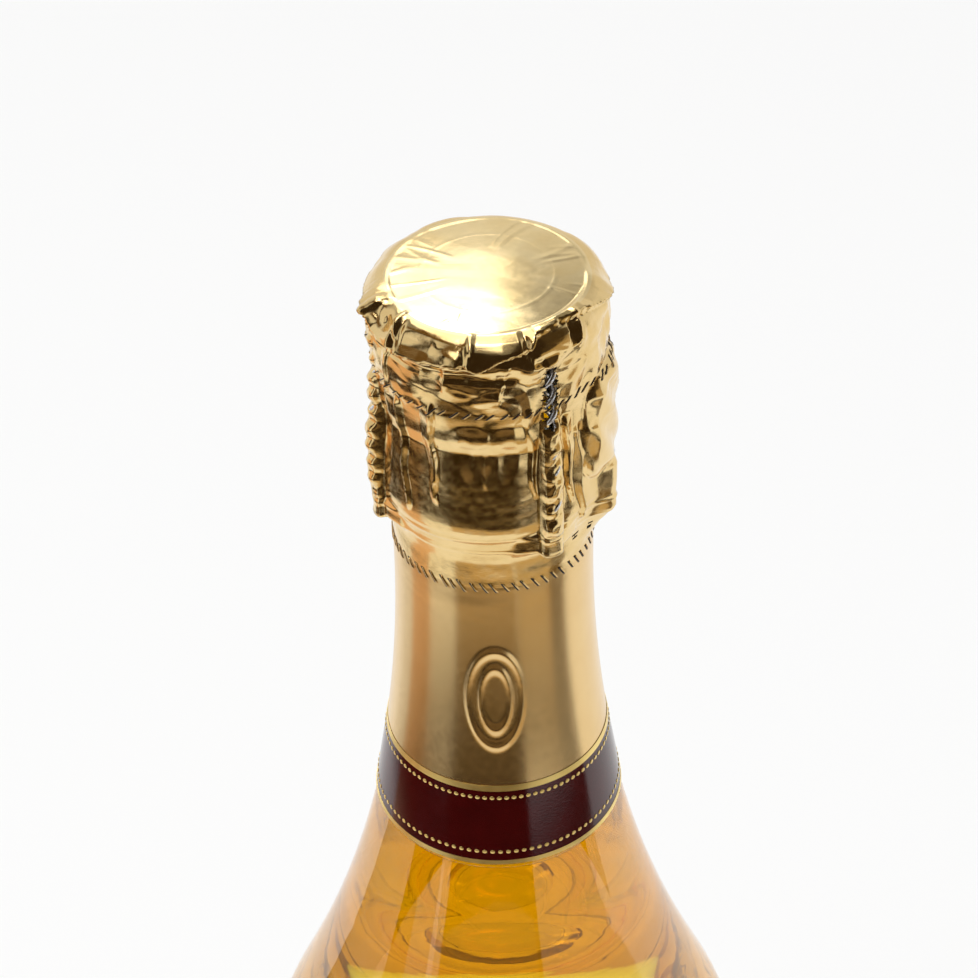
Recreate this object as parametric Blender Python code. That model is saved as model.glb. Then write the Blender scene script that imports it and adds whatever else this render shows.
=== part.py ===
"""Champagne bottle: clear glass and wine, mushroom cork, wire cage, gold foil and paper labels.

Lengths are in metres, +Z is up and -Y is the front. The origin is the middle of the base.
An azimuth is counted in degrees from the front towards +X. An outline is a list of
(radius, height) points that is turned about the Z axis.
"""

import math

import bmesh
import bpy
import numpy as np
from mathutils import Matrix, Vector

# Glass body and neck
RIM_HEIGHT = 0.3
BODY_RADIUS = 0.0445
NECK_RADIUS = 0.0147
NECK_LENGTH = 0.033
NECK_SWEEP = 0.25
SHOULDER_ROUND = 0.085
WALL = 0.0046

# Glass foot and the hollow under it
HEEL_HEIGHT = 0.009
HEEL_DEPTH = 0.006
FOOT_WIDTH = 0.004
FOOT_ROUND = 0.0025
PUNT_DEPTH = 0.032
FLOOR_WALL = 0.007
FLOOR_HEIGHT = 0.0065

# Glass mouth: the lip, and the ring that the cage grips
LIP_INSET = 0.0007
LIP_HEIGHT = 0.0052
GROOVE_DEPTH = 0.0007
GROOVE_HEIGHT = 0.0022
RING_PROUD = 0.0015
RING_HEIGHT = 0.0098
EDGE_ROUND = 0.0008
MOUTH_BORE = 0.00875
BORE_LENGTH = 0.03
BORE_TAPER = 0.018

# Wine, down from the rim
WINE_DROP = 0.0862

# Cork
HEAD_RADIUS = 0.0149
HEAD_HEIGHT = 0.0155
HEAD_ROUND = 0.0016
SHANK_LENGTH = 0.0245
DISC_THICKNESS = 0.0045
DISC_EASE = 0.0004

# Cap plate on the cork
PLATE_THICKNESS = 0.00035
PLATE_RAISE = 0.0009
PLATE_RIM = 0.0011

# Wire cage
WIRE = 0.0009
STRAND_GAP = 0.00054
TOP_RING_INSET = 0.001
TOP_BEND = 0.0012
TOP_DROP = 0.0022
BELT_DROP = 0.0021
LEG_AZIMUTHS_DEG = (30.0, 120.0, 205.0, 285.0)
LEG_TURNS = 5

# Key that tightens the cage
KEY_AZIMUTH_DEG = 75.0
KEY_TURNS = 2.5
KEY_TWIST_LENGTH = 0.0085
KEY_LOOP_LENGTH = 0.0128
KEY_LOOP_WIDTH = 0.01

# Gold foil
FOIL = 0.0003
FOIL_EASE = 0.0017
FOIL_DOME = 0.0004
FOIL_FOLD = 0.0026
UPPER_CUTS_RISE = 0.0055
LOWER_CUTS_DROP = 0.028
HEM_DROP = 0.0687
BELT_TAPER = 0.0042

# Paper labels
PAPER = 0.0003
COLLAR_DROP = 0.0667
COLLAR_HEIGHT = 0.0151
LABEL_FOOT = 0.022
FRONT_LABEL_HEIGHT = 0.078
FRONT_LABEL_SPAN_DEG = 120.0
BACK_LABEL_HEIGHT = 0.06
BACK_LABEL_SPAN_DEG = 75.0

# Clearance between pieces that touch on the real bottle
FIT_GAP = 0.0003

# Facets
SIDES = 40
FOIL_SIDES = 60
CORK_SIDES = 32
TURN_POINTS = 8
WELD = 1e-7

# Shares of the sizes that they follow
HEAD_TOP_SHARE = 0.96
HEAD_WIDEST_SHARE = 0.55
HEAD_UNDERSIDE_SHARES = ((0.93, 0.3), (0.78, 0.08), (0.66, 0.0))
FOLD_SHARES = ((0.85, 0.36), (1.0, 1.0))
DOME_SHARES = ((0.0, 1.0), (0.55, 0.8), (0.85, 0.4))
SKIRT_SHARES = (0.0, 0.12, 0.36, 0.6, 0.8, 1.0)
KEY_WIDEST_SHARE = 0.77

# How far a bulge reaches round the bottle
BELT_BUMP_DEG = 26.0
BULGE_EDGE_DEG = 6.0

# Sizes that follow from the ones above
FOOT_RADIUS = BODY_RADIUS - HEEL_DEPTH
PUNT_RADIUS = FOOT_RADIUS - FOOT_WIDTH - FOOT_ROUND
NECK_BOTTOM = RIM_HEIGHT - NECK_LENGTH
LIP_RADIUS = NECK_RADIUS - LIP_INSET
RING_RADIUS = NECK_RADIUS + RING_PROUD
RING_TOP = RIM_HEIGHT - LIP_HEIGHT - GROOVE_HEIGHT
RING_BOTTOM = RING_TOP - RING_HEIGHT
SHANK_RADIUS = MOUTH_BORE - FIT_GAP
HEAD_BASE = RIM_HEIGHT + FIT_GAP
CORK_TOP = HEAD_BASE + HEAD_HEIGHT
CORK_EDGE = HEAD_RADIUS * HEAD_TOP_SHARE
FLANGE_TOP = CORK_TOP + FIT_GAP + PLATE_THICKNESS
STRAND_OFFSET = (WIRE + STRAND_GAP) / 2
TWIST_HALF = STRAND_OFFSET + WIRE / 2
TOP_RING_RADIUS = HEAD_RADIUS - TOP_RING_INSET
TOP_RING_HEIGHT = FLANGE_TOP + FIT_GAP + WIRE / 2
LEG_TOP = TOP_RING_HEIGHT - TOP_DROP
LEG_FOOT = RING_BOTTOM + WIRE / 2
LEG_RADIUS = RING_RADIUS + FIT_GAP + TWIST_HALF
HEAD_LEG_RADIUS = HEAD_RADIUS + FIT_GAP + TWIST_HALF
BELT_HEIGHT = RING_BOTTOM - BELT_DROP
BELT_RADIUS = NECK_RADIUS + FIT_GAP + WIRE / 2
EYE_RADIUS = WIRE + FIT_GAP
BELT_LEG_RADIUS = BELT_RADIUS + EYE_RADIUS
KEY_FOOT = BELT_HEIGHT + WIRE
KEY_LOOP_FOOT = KEY_FOOT + KEY_TWIST_LENGTH
KEY_TOP = KEY_LOOP_FOOT + KEY_LOOP_LENGTH + WIRE / 2
COVER = FIT_GAP + FOIL
CROWN = max(FLANGE_TOP + PLATE_RAISE, TOP_RING_HEIGHT + WIRE / 2) + COVER
HOOD_RADIUS = HEAD_RADIUS + COVER + FOIL_EASE
UPPER_CUTS = RIM_HEIGHT + UPPER_CUTS_RISE
LOWER_CUTS = RIM_HEIGHT - LOWER_CUTS_DROP
STRIP_NECK = BELT_HEIGHT - WIRE / 2 - BELT_TAPER
HEM = RIM_HEIGHT - HEM_DROP
COLLAR_TOP = RIM_HEIGHT - COLLAR_DROP
WINE_LEVEL = RIM_HEIGHT - WINE_DROP


def clear_scene():
    """Removes every object that the scene starts with."""
    for thing in list(bpy.data.objects):
        bpy.data.objects.remove(thing)


def at(azimuth, radius, height):
    """The point at an azimuth in degrees, a radius and a height."""
    turn = math.radians(azimuth)
    return Vector((radius * math.sin(turn), -radius * math.cos(turn), height))


def beside(azimuth, side, radius, height):
    """The point a distance to the side of an azimuth, measured round the bottle."""
    return at(azimuth + math.degrees(side / radius), radius, height)


def arc(centre, radii, start, end, steps):
    """Points of an ellipse's arc about a centre, from one angle in degrees to another."""
    angles = np.radians(np.linspace(start, end, steps + 1))
    return [(centre[0] + radii[0] * math.cos(a), centre[1] + radii[1] * math.sin(a)) for a in angles]


def offset(outline, distance):
    """An open outline moved by a distance to the left of its direction."""
    points = np.array(outline)
    runs = np.diff(points, axis=0)
    runs /= np.linalg.norm(runs, axis=1)[:, None]
    before = np.vstack([runs[:1], runs])
    after = np.vstack([runs, runs[-1:]])
    mean = before + after
    mean /= np.linalg.norm(mean, axis=1)[:, None]
    left = np.stack([-mean[:, 1], mean[:, 0]], axis=1)
    reach = distance / (mean * after).sum(axis=1)
    return [tuple(point) for point in points + left * reach[:, None]]


def finish(name, colour, roughness, metallic=0.0, transmission=0.0):
    """A Principled material."""
    material = bpy.data.materials.new(name)
    material.use_nodes = True
    shader = material.node_tree.nodes["Principled BSDF"]
    shader.inputs["Base Color"].default_value = (*colour, 1)
    shader.inputs["Roughness"].default_value = roughness
    shader.inputs["Metallic"].default_value = metallic
    shader.inputs["Transmission Weight"].default_value = transmission
    return material


def turned(outline, sides=SIDES):
    """Spins an outline once about the Z axis. It is closed, or it starts and ends on the axis."""
    bm = bmesh.new()
    verts = [bm.verts.new((radius, 0, height)) for radius, height in outline]
    pairs = list(zip(verts, verts[1:]))
    if outline[0][0] > 0:
        pairs.append((verts[-1], verts[0]))
    edges = [bm.edges.new(pair) for pair in pairs]
    bmesh.ops.spin(
        bm, geom=verts + edges, axis=(0, 0, 1), cent=(0, 0, 0), angle=math.tau, steps=sides, use_merge=True
    )
    bmesh.ops.remove_doubles(bm, verts=bm.verts, dist=WELD)
    return bm


def add_piece(name, bm, material):
    """Makes a named object of a bmesh, smooth where it is round."""
    bmesh.ops.recalc_face_normals(bm, faces=bm.faces)
    mesh = bpy.data.meshes.new(name)
    bm.to_mesh(mesh)
    bm.free()
    mesh.shade_smooth()
    mesh.set_sharp_from_angle(angle=math.radians(35))
    mesh.materials.append(material)
    piece = bpy.data.objects.new(name, mesh)
    bpy.context.scene.collection.objects.link(piece)
    return piece


def add_wire(name, points, material, closed=False):
    """Makes a named object of a round wire along the points."""
    curve = bpy.data.curves.new(name, "CURVE")
    curve.dimensions = "3D"
    curve.bevel_depth = WIRE / 2
    curve.bevel_resolution = 1
    curve.use_fill_caps = not closed
    spline = curve.splines.new("POLY")
    spline.points.add(len(points) - 1)
    for place, point in zip(spline.points, points):
        place.co = (*point, 1)
    spline.use_cyclic_u = closed
    curve.materials.append(material)
    piece = bpy.data.objects.new(name, curve)
    bpy.context.scene.collection.objects.link(piece)
    return piece


def neck_glass(height):
    """The glass's outer radius at a height on the neck or its sweep."""
    below = max(0.0, NECK_BOTTOM - height)
    return NECK_RADIUS + NECK_SWEEP - math.sqrt(NECK_SWEEP**2 - below**2)


def shoulder_turn():
    """The angle in degrees at which the neck's sweep meets the shoulder's round."""
    rise = BODY_RADIUS - NECK_RADIUS
    return math.degrees(math.acos(1 - rise / (NECK_SWEEP + SHOULDER_ROUND)))


def shoulder_height():
    """The height at which the body's straight side ends."""
    return NECK_BOTTOM - (NECK_SWEEP + SHOULDER_ROUND) * math.sin(math.radians(shoulder_turn()))


def glass_outside():
    """The bottle's outer outline, from the top of the lip down to the middle of the punt."""
    turn = shoulder_turn()
    mouth = [
        (LIP_RADIUS - EDGE_ROUND, RIM_HEIGHT),
        (LIP_RADIUS, RIM_HEIGHT - EDGE_ROUND),
        (LIP_RADIUS, RIM_HEIGHT - LIP_HEIGHT + EDGE_ROUND),
        (LIP_RADIUS - GROOVE_DEPTH, RIM_HEIGHT - LIP_HEIGHT),
        (LIP_RADIUS - GROOVE_DEPTH, RING_TOP),
        (RING_RADIUS - EDGE_ROUND, RING_TOP),
        (RING_RADIUS, RING_TOP - EDGE_ROUND),
        (RING_RADIUS, RING_BOTTOM + EDGE_ROUND),
        (RING_RADIUS - EDGE_ROUND, RING_BOTTOM),
        (NECK_RADIUS, RING_BOTTOM - EDGE_ROUND),
    ]
    sweep_centre = (NECK_RADIUS + NECK_SWEEP, NECK_BOTTOM)
    round_centre = (BODY_RADIUS - SHOULDER_ROUND, shoulder_height())
    sweep = arc(sweep_centre, (NECK_SWEEP, NECK_SWEEP), 180, 180 + turn, 7)
    shoulder = arc(round_centre, (SHOULDER_ROUND, SHOULDER_ROUND), turn, 0, 4)
    heel = arc((FOOT_RADIUS, HEEL_HEIGHT), (HEEL_DEPTH, HEEL_HEIGHT), 0, -90, 3)
    foot = arc((PUNT_RADIUS + FOOT_ROUND, FOOT_ROUND), (FOOT_ROUND, FOOT_ROUND), -90, -180, 2)
    punt = arc((0, FOOT_ROUND), (PUNT_RADIUS, PUNT_DEPTH - FOOT_ROUND), 0, 90, 5)
    return mouth + sweep + shoulder[1:] + heel + foot + punt[1:-1] + [(0, PUNT_DEPTH)]


def glass_inside():
    """The bottle's inner outline, from the middle of its floor up to the mouth."""
    turn = shoulder_turn()
    dome = (PUNT_RADIUS + FLOOR_WALL, PUNT_DEPTH - FOOT_ROUND + FLOOR_WALL)
    moat = math.degrees(math.asin((FLOOR_HEIGHT - FOOT_ROUND) / dome[1]))
    floor = arc((0, FOOT_ROUND), dome, 90, moat, 4)
    moat_width = BODY_RADIUS - WALL - floor[-1][0]
    corner = arc((floor[-1][0], FLOOR_HEIGHT + HEEL_HEIGHT), (moat_width, HEEL_HEIGHT), -60, 0, 3)
    inner_round = SHOULDER_ROUND - WALL
    inner_sweep = NECK_SWEEP + WALL
    taper_foot = RIM_HEIGHT - BORE_LENGTH - BORE_TAPER
    taper_turn = math.degrees(math.asin(max(0.0, NECK_BOTTOM - taper_foot) / inner_sweep))
    shoulder = arc((BODY_RADIUS - SHOULDER_ROUND, shoulder_height()), (inner_round, inner_round), 0, turn, 4)
    sweep_centre = (NECK_RADIUS + NECK_SWEEP, NECK_BOTTOM)
    sweep = arc(sweep_centre, (inner_sweep, inner_sweep), 180 + turn, 180 + taper_turn, 5)
    mouth = [
        (MOUTH_BORE, RIM_HEIGHT - BORE_LENGTH),
        (MOUTH_BORE, RIM_HEIGHT - EDGE_ROUND),
        (MOUTH_BORE + EDGE_ROUND, RIM_HEIGHT),
    ]
    return [(0, floor[0][1])] + floor[1:] + corner + shoulder + sweep[1:] + mouth


def add_glass(material):
    return add_piece("glass_bottle", turned(glass_inside() + glass_outside()), material)


def add_wine(material):
    """The wine stands a clearance away from the glass all round, up to its level."""
    wall = offset(glass_inside(), FIT_GAP)
    wet = [point for point in wall if point[1] < WINE_LEVEL]
    above = wall[len(wet)]
    share = (WINE_LEVEL - wet[-1][1]) / (above[1] - wet[-1][1])
    edge = wet[-1][0] + share * (above[0] - wet[-1][0])
    outline = [(0, wet[0][1])] + wet[1:] + [(edge, WINE_LEVEL), (0, WINE_LEVEL)]
    return add_piece("wine", turned(outline), material)


def add_cork(material):
    """The agglomerated body: a mushroom head over a shank that fills the mouth."""
    foot = RIM_HEIGHT - SHANK_LENGTH + 2 * (DISC_THICKNESS + FIT_GAP)
    top = arc((CORK_EDGE - HEAD_ROUND, CORK_TOP - HEAD_ROUND), (HEAD_ROUND, HEAD_ROUND), 90, 0, 3)
    underside = [(HEAD_RADIUS * out, HEAD_BASE + HEAD_HEIGHT * up) for out, up in HEAD_UNDERSIDE_SHARES]
    outline = [(0, CORK_TOP)] + top + [(HEAD_RADIUS, HEAD_BASE + HEAD_HEIGHT * HEAD_WIDEST_SHARE)]
    outline += underside + [(SHANK_RADIUS, HEAD_BASE), (SHANK_RADIUS, foot), (0, foot)]
    return add_piece("cork_body", turned(outline, CORK_SIDES), material)


def add_disc(name, foot, material):
    """A disc of natural cork across the shank, its lower edge eased."""
    top = foot + DISC_THICKNESS
    eased = [(SHANK_RADIUS, foot + DISC_EASE), (SHANK_RADIUS - DISC_EASE, foot)]
    outline = [(0, top), (SHANK_RADIUS, top)] + eased + [(0, foot)]
    return add_piece(name, turned(outline, CORK_SIDES), material)


def add_plate(material):
    """The cap plate: a raised middle inside the cage's top ring, a flange under it and a turned rim."""
    raised = TOP_RING_RADIUS - WIRE / 2 - FIT_GAP
    inner_rim = CORK_EDGE + FIT_GAP
    upper = [
        (0, FLANGE_TOP + PLATE_RAISE),
        (raised - PLATE_RAISE, FLANGE_TOP + PLATE_RAISE),
        (raised, FLANGE_TOP),
        (inner_rim, FLANGE_TOP),
        (inner_rim + PLATE_THICKNESS, FLANGE_TOP - PLATE_THICKNESS),
        (inner_rim + PLATE_THICKNESS, FLANGE_TOP - PLATE_RIM),
    ]
    lower = offset(upper[:3], -PLATE_THICKNESS)
    lower = [(0, lower[0][1]), lower[1], lower[2], (inner_rim, lower[2][1]), (inner_rim, upper[-1][1])]
    return add_piece("cap_plate", turned(upper + lower[::-1], CORK_SIDES), material)


def leg_radius(height):
    """How far a leg's middle line stands from the axis, over the cork's head and the glass ring."""
    widest = HEAD_BASE + HEAD_HEIGHT * HEAD_WIDEST_SHARE
    return float(np.interp(height, (RING_TOP, widest), (LEG_RADIUS, HEAD_LEG_RADIUS)))


def leg_strand(azimuth, phase):
    """One of a leg's two twisted strands, from top to foot. The phase is in half turns."""
    points = []
    for share in np.linspace(0, 1, LEG_TURNS * TURN_POINTS + 1):
        height = LEG_TOP + (LEG_FOOT - LEG_TOP) * share
        turn = math.pi * (phase + 2 * LEG_TURNS * share)
        side = STRAND_OFFSET * math.cos(turn)
        points.append(beside(azimuth, side, leg_radius(height) + STRAND_OFFSET * math.sin(turn), height))
    return points


def top_bend(azimuth, side):
    """The bend from the top ring out over the plate's edge, on one side of a leg."""
    edge = TOP_RING_RADIUS + TOP_BEND
    plan = arc((side * (STRAND_OFFSET + TOP_BEND), edge), (-side * TOP_BEND, -TOP_BEND), 90, 0, 3)
    flat = [beside(azimuth, along, out, TOP_RING_HEIGHT) for along, out in plan]
    over = arc((edge, LEG_TOP), (leg_radius(LEG_TOP) - edge, TOP_DROP), 90, 0, 4)
    return flat + [beside(azimuth, side * STRAND_OFFSET, out, up) for out, up in over[1:-1]]


def leg_eye(azimuth):
    """The loop at a leg's foot, down outside the belt wire, under it, and back up to the other strand."""
    points = []
    for share in np.linspace(0, 1, 11):
        turn = math.radians(20 - 300 * share)
        side = STRAND_OFFSET * (2 * share - 1)
        out = BELT_LEG_RADIUS + EYE_RADIUS * math.cos(turn)
        points.append(beside(azimuth, side, out, BELT_HEIGHT + EYE_RADIUS * math.sin(turn)))
    points.append(beside(azimuth, STRAND_OFFSET, LEG_RADIUS - WIRE / 3, RING_BOTTOM - WIRE / 2))
    return points


def frame_wire_points():
    """The cage's frame, one closed wire: a quarter of the top ring, then down and up each leg."""
    points = []
    bend_deg = math.degrees((STRAND_OFFSET + TOP_BEND) / TOP_RING_RADIUS)
    for azimuth, after in zip(LEG_AZIMUTHS_DEG, LEG_AZIMUTHS_DEG[1:] + (LEG_AZIMUTHS_DEG[0] + 360,)):
        points += top_bend(azimuth, -1) + leg_strand(azimuth, 1) + leg_eye(azimuth)
        points += leg_strand(azimuth, 0)[::-1] + top_bend(azimuth, 1)[::-1]
        ring = np.linspace(azimuth + bend_deg, after - bend_deg, TURN_POINTS + 2)[1:-1]
        points += [at(turn, TOP_RING_RADIUS, TOP_RING_HEIGHT) for turn in ring]
    return points


def belt_radius(azimuth):
    """The belt lies on the neck, and stands off it where it passes through a leg's eye."""
    apart = [abs((azimuth - leg + 180) % 360 - 180) / BELT_BUMP_DEG for leg in LEG_AZIMUTHS_DEG]
    bump = max(math.cos(math.pi / 2 * min(1.0, share)) ** 2 for share in apart)
    return BELT_RADIUS + EYE_RADIUS * bump


def belt_wire_points():
    """The belt from one end at the key, round the neck, to the other end beside it."""
    end = LEG_RADIUS - WIRE / 2 - FIT_GAP
    plan = arc((STRAND_OFFSET + WIRE, BELT_RADIUS + WIRE), (-WIRE, -WIRE), 0, 90, 3)
    bend = [(STRAND_OFFSET, end)] + plan
    bend_deg = math.degrees(plan[-1][0] / BELT_RADIUS)
    first = [beside(KEY_AZIMUTH_DEG, along, out, BELT_HEIGHT) for along, out in bend]
    last = [beside(KEY_AZIMUTH_DEG, -along, out, BELT_HEIGHT) for along, out in bend[::-1]]
    ring = np.linspace(KEY_AZIMUTH_DEG + bend_deg, KEY_AZIMUTH_DEG + 360 - bend_deg, 7 * TURN_POINTS)[1:-1]
    return first + [at(turn, belt_radius(turn), BELT_HEIGHT) for turn in ring] + last


def key_strand(phase):
    """One of the key's two twisted strands, from foot to top. The phase is in half turns."""
    side = STRAND_OFFSET * math.cos(math.pi * phase)
    points = [beside(KEY_AZIMUTH_DEG, side, LEG_RADIUS, BELT_HEIGHT - WIRE / 2)]
    for share in np.linspace(0, 1, round(KEY_TURNS * TURN_POINTS) + 1):
        turn = math.pi * (phase + 2 * KEY_TURNS * share)
        out = LEG_RADIUS + STRAND_OFFSET * math.sin(turn)
        height = KEY_FOOT + KEY_TWIST_LENGTH * share
        points.append(beside(KEY_AZIMUTH_DEG, STRAND_OFFSET * math.cos(turn), out, height))
    return points


def key_loop(side):
    """The key's loop, from one strand's top round to the other's, bent to the bottle's round."""
    half = KEY_LOOP_WIDTH / 2 / KEY_WIDEST_SHARE
    first = math.sqrt(2 * STRAND_OFFSET / half)
    points = []
    for turn in np.linspace(first, math.tau - first, 3 * TURN_POINTS)[1:-1]:
        along = side * half * math.sin(turn) * math.sin(turn / 2)
        height = KEY_LOOP_FOOT + KEY_LOOP_LENGTH * (1 - math.cos(turn)) / 2
        points.append(beside(KEY_AZIMUTH_DEG, along, LEG_RADIUS, height))
    return points


def key_points():
    side = math.copysign(1, math.cos(math.tau * KEY_TURNS))
    return key_strand(0) + key_loop(side) + key_strand(1)[::-1]


def fall(apart_deg, half_deg):
    """1 over a bulge's middle, easing to 0 beside it."""
    beyond = max(0.0, apart_deg - half_deg) / BULGE_EDGE_DEG
    return math.exp(-(beyond**2))


def leg_cover(height):
    """The foil's outer radius over a leg and its eye."""
    over_head = HEAD_LEG_RADIUS + TWIST_HALF + COVER
    over_ring = LEG_RADIUS + TWIST_HALF + COVER
    under_eye = BELT_HEIGHT - EYE_RADIUS - WIRE / 2 - COVER
    heights = (STRIP_NECK, under_eye, BELT_HEIGHT, RING_TOP, HEAD_BASE + HEAD_HEIGHT * HEAD_WIDEST_SHARE)
    radii = (0, BELT_LEG_RADIUS + WIRE / 2 + COVER, over_ring, over_ring, over_head)
    return float(np.interp(height, heights, radii))


def key_covers(height):
    """The foil's outer radius over the key's twist and over its loop."""
    over_loop = LEG_RADIUS + WIRE / 2 + COVER
    over_twist = LEG_RADIUS + TWIST_HALF + COVER
    twist = (STRIP_NECK, BELT_HEIGHT - WIRE, KEY_LOOP_FOOT, KEY_LOOP_FOOT + KEY_LOOP_LENGTH / 4)
    loop = (KEY_LOOP_FOOT - WIRE, KEY_LOOP_FOOT, KEY_TOP + COVER, UPPER_CUTS)
    return (
        float(np.interp(height, twist, (0, over_twist, over_twist, over_loop))),
        float(np.interp(height, loop, (0, over_loop, over_loop, 0))),
    )


def drape(bm):
    """Pushes a turned foil shell out over the cage's legs and its folded key."""
    facet_deg = 360 / FOIL_SIDES / 2
    twist_deg = math.degrees(TWIST_HALF / LEG_RADIUS) + facet_deg
    loop_deg = math.degrees((KEY_LOOP_WIDTH + WIRE) / 2 / LEG_RADIUS) + facet_deg
    for vert in bm.verts:
        radius = math.hypot(vert.co.x, vert.co.y)
        if radius < TOP_RING_RADIUS:
            continue
        azimuth = math.degrees(math.atan2(vert.co.x, -vert.co.y))
        height = vert.co.z
        twist, loop = key_covers(height)
        bulges = [(leg, leg_cover(height), twist_deg) for leg in LEG_AZIMUTHS_DEG]
        bulges += [(KEY_AZIMUTH_DEG, twist, twist_deg), (KEY_AZIMUTH_DEG, loop, loop_deg)]
        base = foil_base(height)
        fade = min(1.0, max(0.0, (CROWN - height) / FOIL_FOLD))
        apart = [abs((azimuth - middle + 180) % 360 - 180) for middle, _, _ in bulges]
        push = max(fade * (cover - base) * fall(gap, half) for gap, (_, cover, half) in zip(apart, bulges))
        vert.co.xy *= (radius + max(0.0, push)) / radius
    return bm


def hood_outside():
    """The hood's outer outline before it is draped, from the middle of its top down to the upper cuts."""
    top_edge = TOP_RING_RADIUS + TOP_BEND
    dome = [(top_edge * out, CROWN + FOIL_DOME * up) for out, up in DOME_SHARES]
    width = HOOD_RADIUS - top_edge
    fold = [(top_edge + width * out, CROWN - FOIL_FOLD * down) for out, down in FOLD_SHARES]
    middle = (CROWN - FOIL_FOLD + UPPER_CUTS) / 2
    return dome + [(top_edge, CROWN)] + fold + [(HOOD_RADIUS, middle), (HOOD_RADIUS, UPPER_CUTS)]


def strip_outside():
    """The tear strip's outer outline before it is draped, from the upper cuts down to the lower cuts."""
    over_ring = RING_RADIUS + COVER
    over_belt = BELT_RADIUS + WIRE / 2 + COVER
    over_neck = NECK_RADIUS + COVER
    top = UPPER_CUTS - FIT_GAP
    return [
        (HOOD_RADIUS, top),
        (HOOD_RADIUS, KEY_TOP + COVER),
        (over_ring, RING_TOP),
        (over_ring, (RING_TOP + RING_BOTTOM) / 2),
        (over_ring, RING_BOTTOM),
        (over_belt, BELT_HEIGHT),
        (over_belt, BELT_HEIGHT - WIRE),
        (over_neck, STRIP_NECK),
        (over_neck, LOWER_CUTS),
    ]


def foil_base(height):
    """The foil's outer radius between the bulges, above the lower cuts."""
    outline = strip_outside()[::-1] + hood_outside()[:3:-1]
    return float(np.interp(height, [up for _, up in outline], [out for out, _ in outline]))


def add_shell(name, outside, material):
    """A foil shell, draped over what it covers."""
    inside = offset(outside, -FOIL)[::-1]
    if outside[0][0] == 0:
        inside[-1] = (0, inside[-1][1])
    return add_piece(name, drape(turned(outside + inside, FOIL_SIDES)), material)


def add_skirt(material):
    """The foil round the neck, from the lower cuts to its hem under the collar."""
    top = LOWER_CUTS - FIT_GAP
    heights = [top + (HEM - top) * share for share in SKIRT_SHARES]
    outer = [(neck_glass(height) + COVER, height) for height in heights]
    inner = [(neck_glass(height) + FIT_GAP, height) for height in heights[::-1]]
    return add_piece("foil_skirt", turned(outer + inner), material)


def add_collar(material):
    """The collar: a strip of paper that wraps the neck as a cone, over the foil's hem."""
    bottom = COLLAR_TOP - COLLAR_HEIGHT
    upper = neck_glass(COLLAR_TOP) + COVER + FIT_GAP
    lower = neck_glass(bottom) + COVER
    outline = [(upper, COLLAR_TOP), (upper + PAPER, COLLAR_TOP), (lower + PAPER, bottom), (lower, bottom)]
    return add_piece("collar_label", turned(outline), material)


def add_label(name, azimuth, span, height, material):
    """A label on the body's straight side."""
    inner = BODY_RADIUS + FIT_GAP
    outer = inner + PAPER
    top = LABEL_FOOT + height
    corners = [(inner, LABEL_FOOT), (outer, LABEL_FOOT), (outer, top), (inner, top)]
    start = azimuth - span / 2
    bm = bmesh.new()
    face = bm.faces.new([bm.verts.new(at(start, radius, up)) for radius, up in corners])
    steps = round(span / 360 * SIDES)
    bmesh.ops.spin(bm, geom=[face], axis=(0, 0, 1), cent=(0, 0, 0), angle=math.radians(span), steps=steps)
    return add_piece(name, bm, material)


def joint(name, place, pieces):
    """An empty on a joint's axis, which carries the pieces and empties that move with it."""
    pivot = bpy.data.objects.new(name, None)
    bpy.context.scene.collection.objects.link(pivot)
    pivot.location = place
    for piece in pieces:
        piece.parent = pivot
        piece.matrix_parent_inverse = Matrix.Translation(-Vector(place))
    return pivot


def print_least_gap(name, points):
    """Prints how near a twisted wire's surface comes to itself, measured on the points."""
    places = np.array(points)
    apart = np.linalg.norm(places[:, None] - places[None], axis=2)
    order = np.arange(len(places))
    steps = np.abs(order[:, None] - order[None])
    steps = np.minimum(steps, len(places) - steps)
    print(name, "least gap to itself in metres", round(float(apart[steps > 2].min() - WIRE), 5))


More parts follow.
